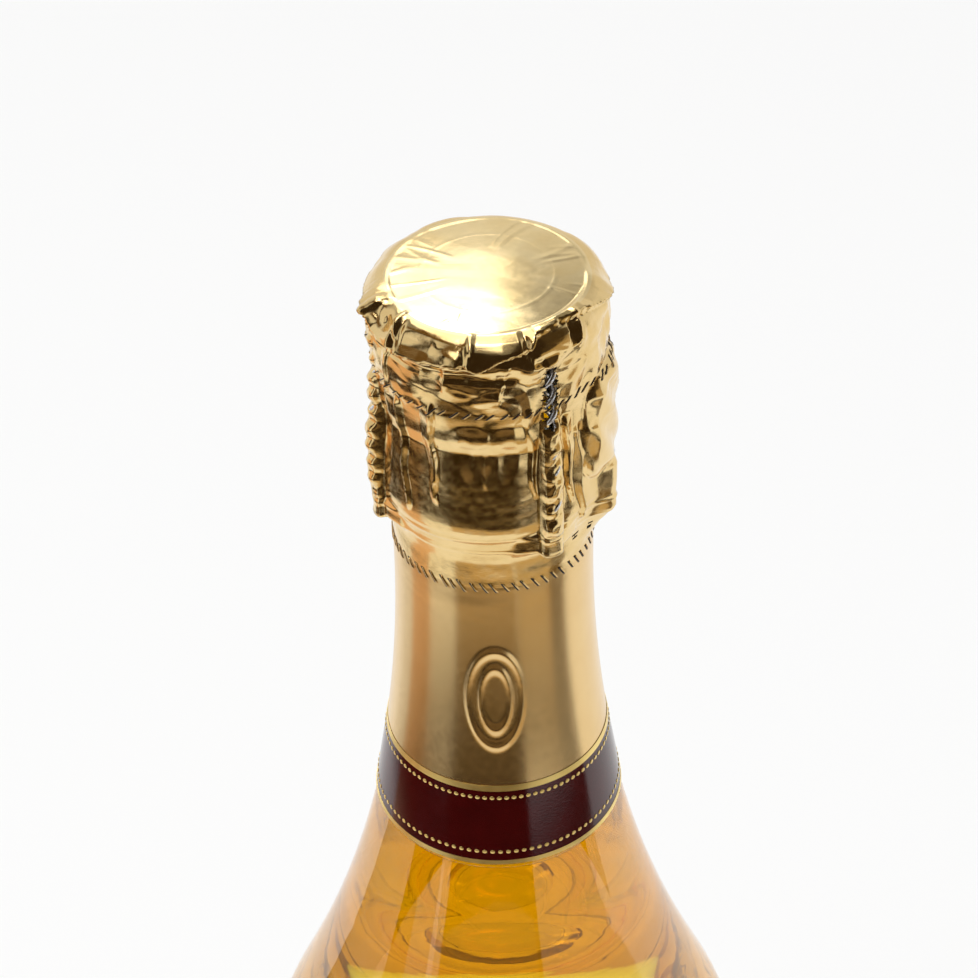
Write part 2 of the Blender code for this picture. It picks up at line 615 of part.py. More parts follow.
def main():
    clear_scene()
    glass = finish("clear_glass", (0.95, 0.97, 0.95), 0.02, transmission=1.0)
    wine = finish("golden_wine", (0.86, 0.55, 0.08), 0.02, transmission=1.0)
    cork = finish("agglomerated_cork", (0.62, 0.43, 0.25), 0.85)
    disc = finish("natural_cork", (0.71, 0.52, 0.33), 0.8)
    tinplate = finish("gold_tinplate", (0.78, 0.6, 0.28), 0.3, metallic=1.0)
    steel = finish("galvanised_wire", (0.62, 0.64, 0.68), 0.35, metallic=1.0)
    foil = finish("gold_foil", (0.83, 0.64, 0.32), 0.25, metallic=1.0)
    band = finish("collar_paper", (0.13, 0.01, 0.025), 0.35)
    paper = finish("label_paper", (0.82, 0.75, 0.6), 0.6)

    add_glass(glass)
    add_wine(wine)
    add_skirt(foil)
    add_collar(band)
    add_label("front_label", 0, FRONT_LABEL_SPAN_DEG, FRONT_LABEL_HEIGHT, paper)
    add_label("back_label", 180, BACK_LABEL_SPAN_DEG, BACK_LABEL_HEIGHT, paper)

    lower_foot = RIM_HEIGHT - SHANK_LENGTH
    upper_foot = lower_foot + DISC_THICKNESS + FIT_GAP
    corks = [
        add_cork(cork),
        add_disc("cork_disc_upper", upper_foot, disc),
        add_disc("cork_disc_lower", lower_foot, disc),
    ]
    frame_points = frame_wire_points()
    print_least_gap("cage_frame_wire", frame_points)
    cage = [
        add_plate(tinplate),
        add_wire("cage_frame_wire", frame_points, steel, closed=True),
        add_wire("cage_belt_wire", belt_wire_points(), steel),
    ]
    key = add_wire("cage_key", key_points(), steel)
    hood = add_shell("foil_hood", hood_outside(), foil)
    strip = add_shell("foil_tear_strip", strip_outside(), foil)

    mouth = (0, 0, RIM_HEIGHT)
    key_pivot = joint("key_axis", at(KEY_AZIMUTH_DEG, LEG_RADIUS, BELT_HEIGHT), [key])
    foil_pivot = joint("foil_axis", mouth, [hood, strip])
    cage_pivot = joint("cage_axis", mouth, cage + [key_pivot, foil_pivot])
    joint("cork_axis", mouth, corks + [cage_pivot])


main()
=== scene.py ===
"""The champagne bottle's looks: clear glass, golden wine, cork, wire cage, gold foil, band and labels.

Lengths are in metres, +Z is up and -Y is the front. An azimuth is counted in degrees from the
front towards +X. An outline is a list of (radius, height) points that is turned about the Z axis.
"""

import logging
import math
from dataclasses import dataclass, field
from enum import Enum

import bmesh
import bpy
import numpy as np
from mathutils import Matrix, Vector


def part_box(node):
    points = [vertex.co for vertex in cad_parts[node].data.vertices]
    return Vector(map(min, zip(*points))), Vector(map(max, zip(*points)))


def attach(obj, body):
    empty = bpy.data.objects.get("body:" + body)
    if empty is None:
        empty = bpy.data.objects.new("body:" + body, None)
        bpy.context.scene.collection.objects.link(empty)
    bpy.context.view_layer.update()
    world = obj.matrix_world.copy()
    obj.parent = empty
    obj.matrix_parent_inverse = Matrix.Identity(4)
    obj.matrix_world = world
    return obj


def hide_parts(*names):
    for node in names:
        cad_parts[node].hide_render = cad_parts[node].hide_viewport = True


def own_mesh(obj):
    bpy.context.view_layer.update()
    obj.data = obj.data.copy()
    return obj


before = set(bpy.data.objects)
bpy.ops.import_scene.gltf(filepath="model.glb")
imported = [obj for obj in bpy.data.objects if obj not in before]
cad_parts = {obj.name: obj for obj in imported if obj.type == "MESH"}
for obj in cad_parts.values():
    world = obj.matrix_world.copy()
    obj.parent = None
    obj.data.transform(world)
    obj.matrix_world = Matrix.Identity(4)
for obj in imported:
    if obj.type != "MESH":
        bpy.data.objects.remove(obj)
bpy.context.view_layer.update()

LOG = logging.getLogger("bottle")
Colour = tuple[float, float, float]
Outline = list[tuple[float, float]]

MM = 0.001
WELD = 1e-7
FULL_TURN = 360.0


def at(azimuth: float, radius: float, height: float) -> Vector:
    """The point at an azimuth in degrees, a radius and a height."""
    turn = math.radians(azimuth)
    return Vector((radius * math.sin(turn), -radius * math.cos(turn), height))


def beside(azimuth: float, side: float, radius: float, height: float) -> Vector:
    """The point a distance to the side of an azimuth, measured round the bottle."""
    return at(azimuth + math.degrees(side / radius), radius, height)


def apart(azimuth: np.ndarray | float, middle: float) -> np.ndarray | float:
    """How many degrees an azimuth lies past a middle one, from -180 to 180."""
    return (azimuth - middle + 180) % FULL_TURN - 180


def arc(centre: tuple, radii: tuple, start: float, end: float, steps: int) -> Outline:
    """Points of an ellipse's arc about a centre, from one angle in degrees to another."""
    angles = np.radians(np.linspace(start, end, steps + 1))
    return [(centre[0] + radii[0] * math.cos(a), centre[1] + radii[1] * math.sin(a)) for a in angles]


def offset(outline: Outline, distance: float) -> Outline:
    """An open outline moved by a distance to the left of its direction.

    Args:
        outline: the points.
        distance: how far it moves.

    Returns:
        The moved outline.
    """
    points = np.array(outline)
    runs = np.diff(points, axis=0)
    runs /= np.linalg.norm(runs, axis=1)[:, None]
    before = np.vstack([runs[:1], runs])
    after = np.vstack([runs, runs[-1:]])
    mean = before + after
    mean /= np.linalg.norm(mean, axis=1)[:, None]
    left = np.stack([-mean[:, 1], mean[:, 0]], axis=1)
    reach = distance / (mean * after).sum(axis=1)
    return [tuple(point) for point in points + left * reach[:, None]]


def resampled(outline: Outline, rows: int) -> Outline:
    """An outline with its points spread evenly along it.

    Args:
        outline: the points.
        rows: how many runs it gets.

    Returns:
        The new outline.
    """
    points = np.array(outline)
    steps = np.linalg.norm(np.diff(points, axis=0), axis=1)
    along = np.concatenate([[0], np.cumsum(steps)])
    places = np.linspace(0, along[-1], rows + 1)
    return list(zip(np.interp(places, along, points[:, 0]), np.interp(places, along, points[:, 1])))


def turned(outline: Outline, sides: int, closed: bool) -> bmesh.types.BMesh:
    """Spins an outline once about the Z axis.

    Args:
        outline: the (radius, height) points.
        sides: the steps of the turn.
        closed: whether the last point joins the first.

    Returns:
        The bmesh, with its poles and seam merged.
    """
    bm = bmesh.new()
    verts = [bm.verts.new((0, -radius, height)) for radius, height in outline]
    pairs = list(zip(verts, verts[1:]))
    if closed:
        pairs.append((verts[-1], verts[0]))
    edges = [bm.edges.new(pair) for pair in pairs]
    bmesh.ops.spin(
        bm, geom=verts + edges, axis=(0, 0, 1), cent=(0, 0, 0), angle=math.tau, steps=sides, use_merge=True
    )
    bmesh.ops.remove_doubles(bm, verts=bm.verts, dist=WELD)
    return bm


def wrapped(outline: Outline, sides: int) -> bmesh.types.BMesh:
    """Wraps a grid once round the Z axis, with its rows on an open outline.

    Args:
        outline: the (radius, height) points.
        sides: the steps of the turn.

    Returns:
        The bmesh, with its seam and any pole merged.
    """
    bm = bmesh.new()
    rows = len(outline) - 1
    bmesh.ops.create_grid(bm, x_segments=sides, y_segments=rows, size=1)
    for vert in bm.verts:
        step = round((vert.co.x + 1) / 2 * sides)
        radius, height = outline[round((vert.co.y + 1) / 2 * rows)]
        vert.co = at(step * FULL_TURN / sides, radius, height)
    bmesh.ops.remove_doubles(bm, verts=bm.verts, dist=WELD)
    return bm


def band_of(corners: Outline, start: float, span: float, steps: int) -> bmesh.types.BMesh:
    """Sweeps a closed outline part of the way round the bottle, with its ends closed.

    Args:
        corners: the closed outline.
        start: the azimuth that it starts at.
        span: the degrees that it covers.
        steps: the steps of the turn.

    Returns:
        The bmesh.
    """
    bm = bmesh.new()
    face = bm.faces.new([bm.verts.new(at(start, radius, height)) for radius, height in corners])
    bmesh.ops.spin(bm, geom=[face], axis=(0, 0, 1), cent=(0, 0, 0), angle=math.radians(span), steps=steps)
    bmesh.ops.recalc_face_normals(bm, faces=bm.faces)
    return bm


def finish_mesh(
    name: str, bm: bmesh.types.BMesh, materials: list, sharp: float = 40, recalculate: bool = True
) -> bpy.types.Object:
    """Makes a named object of a bmesh.

    Args:
        name: the piece's name.
        bm: the bmesh, which is freed.
        materials: the materials in the order of the faces' indices.
        sharp: the angle in degrees above which an edge is drawn sharp.
        recalculate: whether the normals are set to face outwards.

    Returns:
        The new object, at the origin.
    """
    if recalculate:
        bmesh.ops.recalc_face_normals(bm, faces=bm.faces)
    mesh = bpy.data.meshes.new(name)
    bm.to_mesh(mesh)
    bm.free()
    mesh.shade_smooth()
    mesh.set_sharp_from_angle(angle=math.radians(sharp))
    for material in materials:
        mesh.materials.append(material)
    piece = bpy.data.objects.new(name, mesh)
    bpy.context.scene.collection.objects.link(piece)
    return piece


def place(piece: bpy.types.Object, body: str, slot: str, *nodes: str) -> bpy.types.Object:
    """Hands a finished piece to its body and hides the solids that it stands for.

    Args:
        piece: the finished object.
        body: the body that it rides on.
        slot: its finish's name; not used.
        *nodes: the solids that it stands for, if any.

    Returns:
        The same piece.
    """
    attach(piece, body)
    if nodes:
        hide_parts(*nodes)
    LOG.info("%s: %d vertices, rides on %s", piece.name, len(piece.data.vertices), body)
    return piece


def thicken(piece: bpy.types.Object, thickness: float, offset_share: float, inner: int = 0) -> None:
    """Gives a sheet its thickness, with another material on its inner side if asked.

    Args:
        piece: the sheet.
        thickness: of its wall.
        offset_share: -1 to grow inwards, 0 to both sides.
        inner: how many materials further the inner side's is.
    """
    wall = piece.modifiers.new("thickness", "SOLIDIFY")
    wall.thickness = thickness
    wall.offset = offset_share
    wall.material_offset = inner


class Graph:
    """A node tree, with one short call to add a node and link it."""

    def __init__(self, owner: bpy.types.Material | bpy.types.World) -> None:
        """Starts an empty tree in a material or a world.

        Args:
            owner: what the tree belongs to.
        """
        owner.use_nodes = True
        self.owner = owner
        self.tree = owner.node_tree
        self.tree.nodes.clear()

    def add(self, kind: str, inputs: dict | None = None, **settings: object) -> bpy.types.Node:
        """Adds a node.

        Args:
            kind: the node's type, without its ShaderNode prefix.
            inputs: values or sockets, by input name or number.
            **settings: the node's own options.

        Returns:
            The new node.
        """
        node = self.tree.nodes.new("ShaderNode" + kind)
        for name, value in settings.items():
            setattr(node, name, value)
        for name, value in (inputs or {}).items():
            if isinstance(value, bpy.types.NodeSocket):
                self.tree.links.new(value, node.inputs[name])
            else:
                node.inputs[name].default_value = value
        return node

    def coordinates(self) -> bpy.types.NodeSocket:
        """The piece's own coordinates, in metres."""
        return self.add("TexCoord").outputs["Object"]

    def noise(
        self, scale: float, detail: float = 3, warp: float = 0, rough: float = 0.5
    ) -> bpy.types.NodeSocket:
        """A noise value over the piece.

        Args:
            scale: waves to the metre.
            detail: its octaves.
            warp: how much it is bent.
            rough: the share that each octave keeps.

        Returns:
            The value's socket.
        """
        return self.add("TexNoise", {
            "Vector": self.coordinates(), "Scale": scale, "Detail": detail,
            "Distortion": warp, "Roughness": rough,
        }).outputs["Fac"]

    def ramp(self, value: bpy.types.NodeSocket, *stops: tuple) -> bpy.types.NodeSocket:
        """Colours along a value, each stop a place and a colour or a grey.

        Args:
            value: the socket that picks the colour.
            *stops: places and colours, in order.

        Returns:
            The colour's socket.
        """
        node = self.add("ValToRGB", {"Fac": value})
        elements = node.color_ramp.elements
        while len(elements) < len(stops):
            elements.new(0.5)
        for element, (where, colour) in zip(elements, stops):
            element.position = where
            shade = colour if isinstance(colour, tuple) else (colour,) * 3
            element.color = (*shade, 1)
        return node.outputs["Color"]

    def maths(self, operation: str, *values: object) -> bpy.types.NodeSocket:
        """A sum, product or other operation on numbers."""
        return self.add("Math", dict(enumerate(values)), operation=operation).outputs[0]

    def bump(self, value: bpy.types.NodeSocket, strength: float, depth: float) -> bpy.types.NodeSocket:
        """A bump of a depth in metres at full strength.

        Args:
            value: the relief.
            strength: the share of it that shows.
            depth: its height in metres.

        Returns:
            The normal's socket.
        """
        inputs = {"Height": value, "Strength": strength, "Distance": depth}
        return self.add("Bump", inputs).outputs["Normal"]

    def shader(self, inputs: dict) -> bpy.types.Node:
        """A Principled shader on the output.

        Args:
            inputs: the shader's inputs, by name.

        Returns:
            The shader's node.
        """
        node = self.add("BsdfPrincipled", inputs)
        self.add("OutputMaterial", {"Surface": node.outputs[0]})
        return node


@dataclass(frozen=True)
class FoilFinish:
    """Thin metal foil with a lacquered face."""

    name: str
    colour: Colour
    shade: Colour
    roughness: tuple[float, float]
    grain_depth: float

    def material(self) -> bpy.types.Material:
        """Builds the foil: cloudy lacquer, fine crinkle and a few rubbed specks.

        Returns:
            The new material.
        """
        graph = Graph(bpy.data.materials.new(self.name))
        cloud = graph.noise(160, 4, 0.6)
        colour = graph.ramp(cloud, (0.3, self.shade), (0.62, self.colour))
        wear = graph.ramp(graph.noise(900, 5), (0.35, self.roughness[0]), (0.7, self.roughness[1]))
        crinkle = graph.noise(1500, 4, 0.8)
        stretch = graph.add("Mapping", {"Vector": graph.coordinates(), "Scale": (1, 1, 9)}).outputs[0]
        rolled = graph.add("TexNoise", {"Vector": stretch, "Scale": 700.0, "Detail": 3.0}).outputs["Fac"]
        relief = graph.maths(
            "ADD", graph.maths("MULTIPLY", crinkle, 0.7), graph.maths("MULTIPLY", rolled, 0.3)
        )
        graph.shader({
            "Base Color": colour, "Metallic": 1.0, "Roughness": wear,
            "Normal": graph.bump(relief, 1.0, self.grain_depth),
        })
        return graph.owner


@dataclass(frozen=True)
class WireFinish:
    """Galvanised steel wire."""

    name: str = "galvanised_wire"
    colour: Colour = (0.84, 0.85, 0.87)
    dull: Colour = (0.5, 0.51, 0.53)

    def material(self) -> bpy.types.Material:
        """Builds zinc with cloudy spangle, a fine bumpy grain and small dull spots.

        Returns:
            The new material.
        """
        graph = Graph(bpy.data.materials.new(self.name))
        spots = graph.noise(1400, 5, 1.2)
        colour = graph.ramp(spots, (0.34, self.dull), (0.55, self.colour))
        rough = graph.ramp(spots, (0.3, 0.45), (0.6, 0.16))
        graph.shader({
            "Base Color": colour, "Metallic": 1.0, "Roughness": rough,
            "Normal": graph.bump(graph.noise(2600, 3), 0.6, 0.00004),
        })
        return graph.owner


@dataclass(frozen=True)
class TinplateFinish:
    """Gold-lacquered tinplate."""

    name: str = "gold_tinplate"
    colour: Colour = (0.78, 0.6, 0.28)

    def material(self) -> bpy.types.Material:
        """Builds lacquered tinplate with fine scuffs.

        Returns:
            The new material.
        """
        graph = Graph(bpy.data.materials.new(self.name))
        scuffs = graph.noise(1200, 6, 2.0, 0.6)
        shade = tuple(part * 0.72 for part in self.colour)
        graph.shader({
            "Base Color": graph.ramp(scuffs, (0.36, shade), (0.52, self.colour)),
            "Metallic": 1.0, "Roughness": graph.ramp(scuffs, (0.35, 0.42), (0.6, 0.24)),
            "Coat Weight": 0.3, "Coat Roughness": 0.15,
            "Normal": graph.bump(scuffs, 0.3, 0.00003),
        })
        return graph.owner


@dataclass(frozen=True)
class GlassFinish:
    """Clear bottle glass."""

    name: str = "clear_glass"
    tint: Colour = (0.97, 0.99, 0.97)
    index: float = 1.5
    density: float = 14.0

    def material(self) -> bpy.types.Material:
        """Builds glass with the slow waves that a mould leaves.

        Returns:
            The new material.
        """
        graph = Graph(bpy.data.materials.new(self.name))
        waves = graph.noise(38, 2, 0.3)
        node = graph.shader({
            "Base Color": (1, 1, 1, 1), "Roughness": 0.0, "IOR": self.index, "Transmission Weight": 1.0,
            "Normal": graph.bump(waves, 0.07, 0.0012),
        })
        volume = graph.add("VolumeAbsorption", {"Color": (*self.tint, 1), "Density": self.density})
        graph.tree.links.new(volume.outputs[0], node.outputs[0].links[0].to_node.inputs["Volume"])
        return graph.owner


@dataclass(frozen=True)
class WineFinish:
    """Golden sparkling wine."""

    name: str = "golden_wine"
    colour: Colour = (0.984, 0.9, 0.024)
    density: float = 54.0
    index: float = 1.34

    def material(self) -> bpy.types.Material:
        """Builds a clear liquid that takes its colour from its depth.

        Returns:
            The new material.
        """
        graph = Graph(bpy.data.materials.new(self.name))
        swirl = graph.noise(60, 2, 1.5)
        node = graph.shader({
            "Base Color": (1, 1, 1, 1), "Roughness": 0.0, "IOR": self.index, "Transmission Weight": 1.0,
            "Normal": graph.bump(swirl, 0.05, 0.001),
        })
        volume = graph.add("VolumeAbsorption", {"Color": (*self.colour, 1), "Density": self.density})
        graph.tree.links.new(volume.outputs[0], node.outputs[0].links[0].to_node.inputs["Volume"])
        return graph.owner


@dataclass(frozen=True)
class CorkFinish:
    """Cork, in pressed granules or cut from the bark."""

    name: str
    light: Colour
    dark: Colour
    grain: float
    layers: bool

    def material(self) -> bpy.types.Material:
        """Builds granules with dark joints, or growth layers with short pores.

        Returns:
            The new material.
        """
        graph = Graph(bpy.data.materials.new(self.name))
        cells = graph.add("TexVoronoi", {
            "Vector": graph.coordinates(), "Scale": self.grain, "Randomness": 1.0,
        })
        shade = graph.ramp(cells.outputs["Color"], (0.1, self.dark), (0.9, self.light))
        edges = graph.add(
            "TexVoronoi", {"Vector": graph.coordinates(), "Scale": self.grain}, feature="DISTANCE_TO_EDGE"
        ).outputs["Distance"]
        if self.layers:
            flat = graph.add("Mapping", {"Vector": graph.coordinates(), "Scale": (5, 1, 1)}).outputs[0]
            bark = graph.add("TexNoise", {"Vector": flat, "Scale": self.grain, "Detail": 4.0})
            edges = bark.outputs["Fac"]
            shade = graph.ramp(edges, (0.35, self.dark), (0.6, self.light))
        joint = graph.ramp(edges, (0.0, 0.35), (0.09, 1.0))
        colour = graph.add(
            "Mix", {6: shade, 7: joint, 0: 1.0}, data_type="RGBA", blend_type="MULTIPLY"
        ).outputs[2]
        relief = graph.maths("ADD", joint, graph.noise(4000, 4))
        graph.shader({
            "Base Color": colour, "Roughness": 0.86, "Specular IOR Level": 0.25,
            "Normal": graph.bump(relief, 0.6, 0.00012),
        })
        return graph.owner


@dataclass(frozen=True)
class PaperFinish:
    """Printed paper, with a coat where it is varnished."""

    name: str
    colour: Colour
    shade: Colour
    roughness: float
    coat: float
    tooth: float = 0.00002

    def material(self) -> bpy.types.Material:
        """Builds paper with fibre, slight mottling and its varnish.

        Returns:
            The new material.
        """
        graph = Graph(bpy.data.materials.new(self.name))
        mottle, wear = graph.noise(260, 5), graph.noise(1800, 4)
        graph.shader({
            "Base Color": graph.ramp(mottle, (0.35, self.shade), (0.65, self.colour)),
            "Roughness": graph.ramp(wear, (0.3, self.roughness * 0.8), (0.7, self.roughness)),
            "Coat Weight": self.coat, "Coat Roughness": 0.06,
            "Normal": graph.bump(graph.noise(3200, 4), 0.5, self.tooth),
        })
        return graph.owner


class Finish(Enum):
    """The finishes by name, each with what makes it."""

    GLASS = GlassFinish()
    WINE = WineFinish()
    CORK = CorkFinish("agglomerated_cork", (0.66, 0.46, 0.27), (0.42, 0.26, 0.13), 700, False)
    DISC = CorkFinish("natural_cork", (0.74, 0.55, 0.35), (0.55, 0.37, 0.2), 500, True)
    TINPLATE = TinplateFinish()
    WIRE = WireFinish()
    FOIL = FoilFinish("gold_foil", (0.87, 0.64, 0.3), (0.8, 0.56, 0.23), (0.12, 0.22), 0.000012)
    TOP_FOIL = FoilFinish("gold_top_foil", (0.87, 0.68, 0.36), (0.84, 0.63, 0.3), (0.15, 0.2), 0.000004)
    NECK_FOIL = FoilFinish("gold_neck_foil", (0.84, 0.59, 0.27), (0.82, 0.565, 0.25), (0.2, 0.23), 0.000002)
    FOIL_BACK = FoilFinish("foil_underside", (0.74, 0.75, 0.77), (0.6, 0.61, 0.64), (0.3, 0.45), 0.00003)
    # Dark strips beside the foil cuts: painted shadow in place of the shade inside each slit.
    PAINTED_SHADE_STRIP = PaperFinish("painted_cut_shadow", (0.03, 0.02, 0.012), (0.015, 0.01, 0.006), 0.6, 0.0)
    BAND = PaperFinish("collar_paper", (0.04, 0.0009, 0.0011), (0.032, 0.0007, 0.0009), 0.12, 0.0)
    PRINT_GOLD = FoilFinish("printed_gold", (0.96, 0.74, 0.28), (0.9, 0.66, 0.22), (0.3, 0.4), 0.000006)
    PAPER = PaperFinish("label_paper", (0.86, 0.81, 0.69), (0.8, 0.74, 0.61), 0.55, 0.0, 0.00003)


class Finishes:
    """Makes each material once, when it is first asked for."""

    def __init__(self) -> None:
        """Starts with nothing made."""
        self.made: dict[Finish, bpy.types.Material] = {}

    def __getitem__(self, finish: Finish) -> bpy.types.Material:
        """The material of a finish.

        Args:
            finish: which one.

        Returns:
            Its material.
        """
        if finish not in self.made:
            self.made[finish] = finish.value.material()
        return self.made[finish]


@dataclass(frozen=True)
class Places:
    """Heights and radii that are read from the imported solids."""

    rim: float
    body_radius: float
    wine_level: float
    crown: float
    upper_cuts: float
    lower_cuts: float
    hem: float
    collar_top: float
    collar_foot: float

    @classmethod
    def from_frame(cls) -> "Places":
        """Reads the solids' boxes.

        Returns:
            The places.
        """
        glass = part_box("glass_bottle")[1]
        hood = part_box("foil_hood")
        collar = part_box("collar_label")
        return cls(
            rim=glass.z, body_radius=glass.y, wine_level=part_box("wine")[1].z, crown=hood[1].z,
            upper_cuts=hood[0].z, lower_cuts=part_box("foil_tear_strip")[0].z, hem=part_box("foil_skirt")[0].z,
            collar_top=collar[1].z, collar_foot=collar[0].z,
        )


@dataclass
class Glassware:
    """The glass bottle and the wine in it."""

    places: Places
    finishes: Finishes
    neck_radius: float = 14.7 * MM
    neck_length: float = 33.0 * MM
    neck_sweep: float = 250.0 * MM
    shoulder_round: float = 85.0 * MM
    wall: float = 4.6 * MM
    heel: tuple[float, float] = (6.0 * MM, 9.0 * MM)
    foot_width: float = 4.0 * MM
    foot_round: float = 2.5 * MM
    punt_depth: float = 32.0 * MM
    floor_wall: float = 7.0 * MM
    floor_height: float = 6.5 * MM
    lip_inset: float = 0.7 * MM
    lip_height: float = 5.2 * MM
    groove_depth: float = 0.7 * MM
    groove_height: float = 2.2 * MM
    ring_proud: float = 1.5 * MM
    ring_height: float = 9.8 * MM
    edge_round: float = 0.8 * MM
    mouth_bore: float = 8.75 * MM
    bore_length: float = 30.0 * MM
    bore_taper: float = 18.0 * MM
    wetting: float = 0.05 * MM
    meniscus: tuple[float, float] = (1.6 * MM, 0.7 * MM)
    sides: int = 192

    def neck_glass(self, height: float) -> float:
        """The glass's outer radius at a height on the neck or its sweep."""
        below = max(0.0, self.places.rim - self.neck_length - height)
        return self.neck_radius + self.neck_sweep - math.sqrt(self.neck_sweep**2 - below**2)

    def shoulder(self) -> tuple[float, float]:
        """The angle in degrees where sweep and shoulder meet, and the height of the shoulder's foot.

        Returns:
            The angle and the height.
        """
        reach = self.neck_sweep + self.shoulder_round
        turn = math.acos(1 - (self.places.body_radius - self.neck_radius) / reach)
        return math.degrees(turn), self.places.rim - self.neck_length - reach * math.sin(turn)

    def outside(self) -> Outline:
        """The outer outline, from the top of the lip down to the middle of the punt.

        Returns:
            The (radius, height) points.
        """
        rim, neck, ease = self.places.rim, self.neck_radius, self.edge_round
        lip = neck - self.lip_inset
        groove = lip - self.groove_depth
        ring = neck + self.ring_proud
        ring_top = rim - self.lip_height - self.groove_height
        ring_foot = ring_top - self.ring_height
        turn, foot_of_shoulder = self.shoulder()
        body = self.places.body_radius
        foot = body - self.heel[0]
        punt = foot - self.foot_width - self.foot_round
        outline = arc((lip - ease, rim - ease), (ease, ease), 90, 0, 5)
        outline += arc((lip - ease, rim - self.lip_height + ease), (ease, ease), 0, -80, 5)
        outline += arc((groove + ease, ring_top + ease), (ease, ease), 180, 255, 4)
        outline += arc((ring - ease, ring_top - ease), (ease, ease), 90, 0, 5)
        outline += arc((ring - ease, ring_foot + ease), (ease, ease), 0, -80, 5)
        outline += arc((neck + ease, ring_foot - 2 * ease), (ease, ease), 110, 180, 4)
        sweep_centre = (neck + self.neck_sweep, rim - self.neck_length)
        outline += arc(sweep_centre, (self.neck_sweep,) * 2, 180, 180 + turn, 28)
        shoulder_centre = (body - self.shoulder_round, foot_of_shoulder)
        outline += arc(shoulder_centre, (self.shoulder_round,) * 2, turn, 0, 16)[1:]
        outline += arc((foot, self.heel[1]), self.heel, 0, -90, 8)
        outline += arc((punt + self.foot_round, self.foot_round), (self.foot_round,) * 2, -90, -180, 6)
        dome = arc((0, self.foot_round), (punt, self.punt_depth - self.foot_round), 0, 90, 18)
        return outline + dome[1:-1] + [(0, self.punt_depth)]

    def inside(self) -> Outline:
        """The inner outline, from the middle of the floor up to the mouth.

        Returns:
            The (radius, height) points.
        """
        turn, foot_of_shoulder = self.shoulder()
        rim, body, wall = self.places.rim, self.places.body_radius, self.wall
        punt = body - self.heel[0] - self.foot_width - self.foot_round
        dome = (punt + self.floor_wall, self.punt_depth - self.foot_round + self.floor_wall)
        moat = math.degrees(math.asin((self.floor_height - self.foot_round) / dome[1]))
        floor = arc((0, self.foot_round), dome, 90, moat, 14)
        corner_width = body - wall - floor[-1][0]
        corner_centre = (floor[-1][0], self.floor_height + self.heel[1])
        corner = arc(corner_centre, (corner_width, self.heel[1]), -60, 0, 6)
        inner_sweep = self.neck_sweep + wall
        taper = (rim - self.neck_length) - (rim - self.bore_length - self.bore_taper)
        taper_turn = math.degrees(math.asin(taper / inner_sweep))
        inner_round = self.shoulder_round - wall
        outline = [(0, floor[0][1])] + floor[1:] + corner
        outline += arc((body - self.shoulder_round, foot_of_shoulder), (inner_round,) * 2, 0, turn, 16)
        sweep_centre = (self.neck_radius + self.neck_sweep, rim - self.neck_length)
        outline += arc(sweep_centre, (inner_sweep,) * 2, 180 + turn, 180 + taper_turn, 24)[1:]
        bore, ease = self.mouth_bore, self.edge_round
        outline += [(bore, rim - self.bore_length)]
        return outline + arc((bore + ease, rim - ease), (ease, ease), 180, 90, 5)

    def build_glass(self) -> None:
        """Makes the glass bottle."""
        bm = turned(self.inside() + self.outside(), self.sides, closed=False)
        piece = finish_mesh("bottle_glass", bm, [self.finishes[Finish.GLASS]], 60)
        place(piece, "bottle", "clear_glass", "glass_bottle")

    def build_wine(self) -> None:
        """Makes the wine, which wets the glass and climbs a little at its edge."""
        wall = offset(self.inside(), -self.wetting)
        level = self.places.wine_level
        climb = level + self.meniscus[1]
        wet = [point for point in wall if point[1] < climb]
        above = wall[len(wet)]
        share = (climb - wet[-1][1]) / (above[1] - wet[-1][1])
        edge = wet[-1][0] + share * (above[0] - wet[-1][0])
        curve = arc((edge - self.meniscus[0], climb), self.meniscus, 0, -90, 8)
        outline = [(0, wet[0][1])] + wet[1:] + curve + [(0, level)]
        bm = turned(outline, self.sides, closed=False)
        piece = finish_mesh("wine_fill", bm, [self.finishes[Finish.WINE]], 60)
        place(piece, "bottle", "golden_wine", "wine")

    def build(self) -> None:
        """Makes the glass and the wine."""
        self.build_glass()
        self.build_wine()


@dataclass(frozen=True)
class Pleat:
    """A sharp fold in the foil. Places are (azimuth, height in mm), sizes are in mm."""

    start: tuple[float, float]
    end: tuple[float, float]
    rise: float
    left: float
    right: float

    def relief(self, azimuth: np.ndarray, height: np.ndarray, radius: np.ndarray) -> np.ndarray:
        """How far the fold lifts the foil, in mm.

        Args:
            azimuth: the places' azimuths, in degrees.
            height: their heights, in mm.
            radius: their radii, in mm.

        Returns:
            The lift at each place.
        """
        run = self.end[1] - self.start[1]
        share = (height - self.start[1]) / run
        wander = 0.9 * np.sin(height * 0.62 + self.start[0])
        middle = self.start[0] + (self.end[0] - self.start[0]) * share + wander
        side = np.radians(apart(azimuth, middle)) * radius
        width = np.where(side < 0, self.left, self.right) * np.clip(1.15 - 0.8 * share, 0.3, 1.15)
        crest = np.clip(1 - np.abs(side) / width, 0, 1)
        ends = np.clip(np.minimum(share, 1 - share) * abs(run) / 1.2, 0, 1)
        return self.rise * crest * np.where((share > 0) & (share < 1), ends, 0)


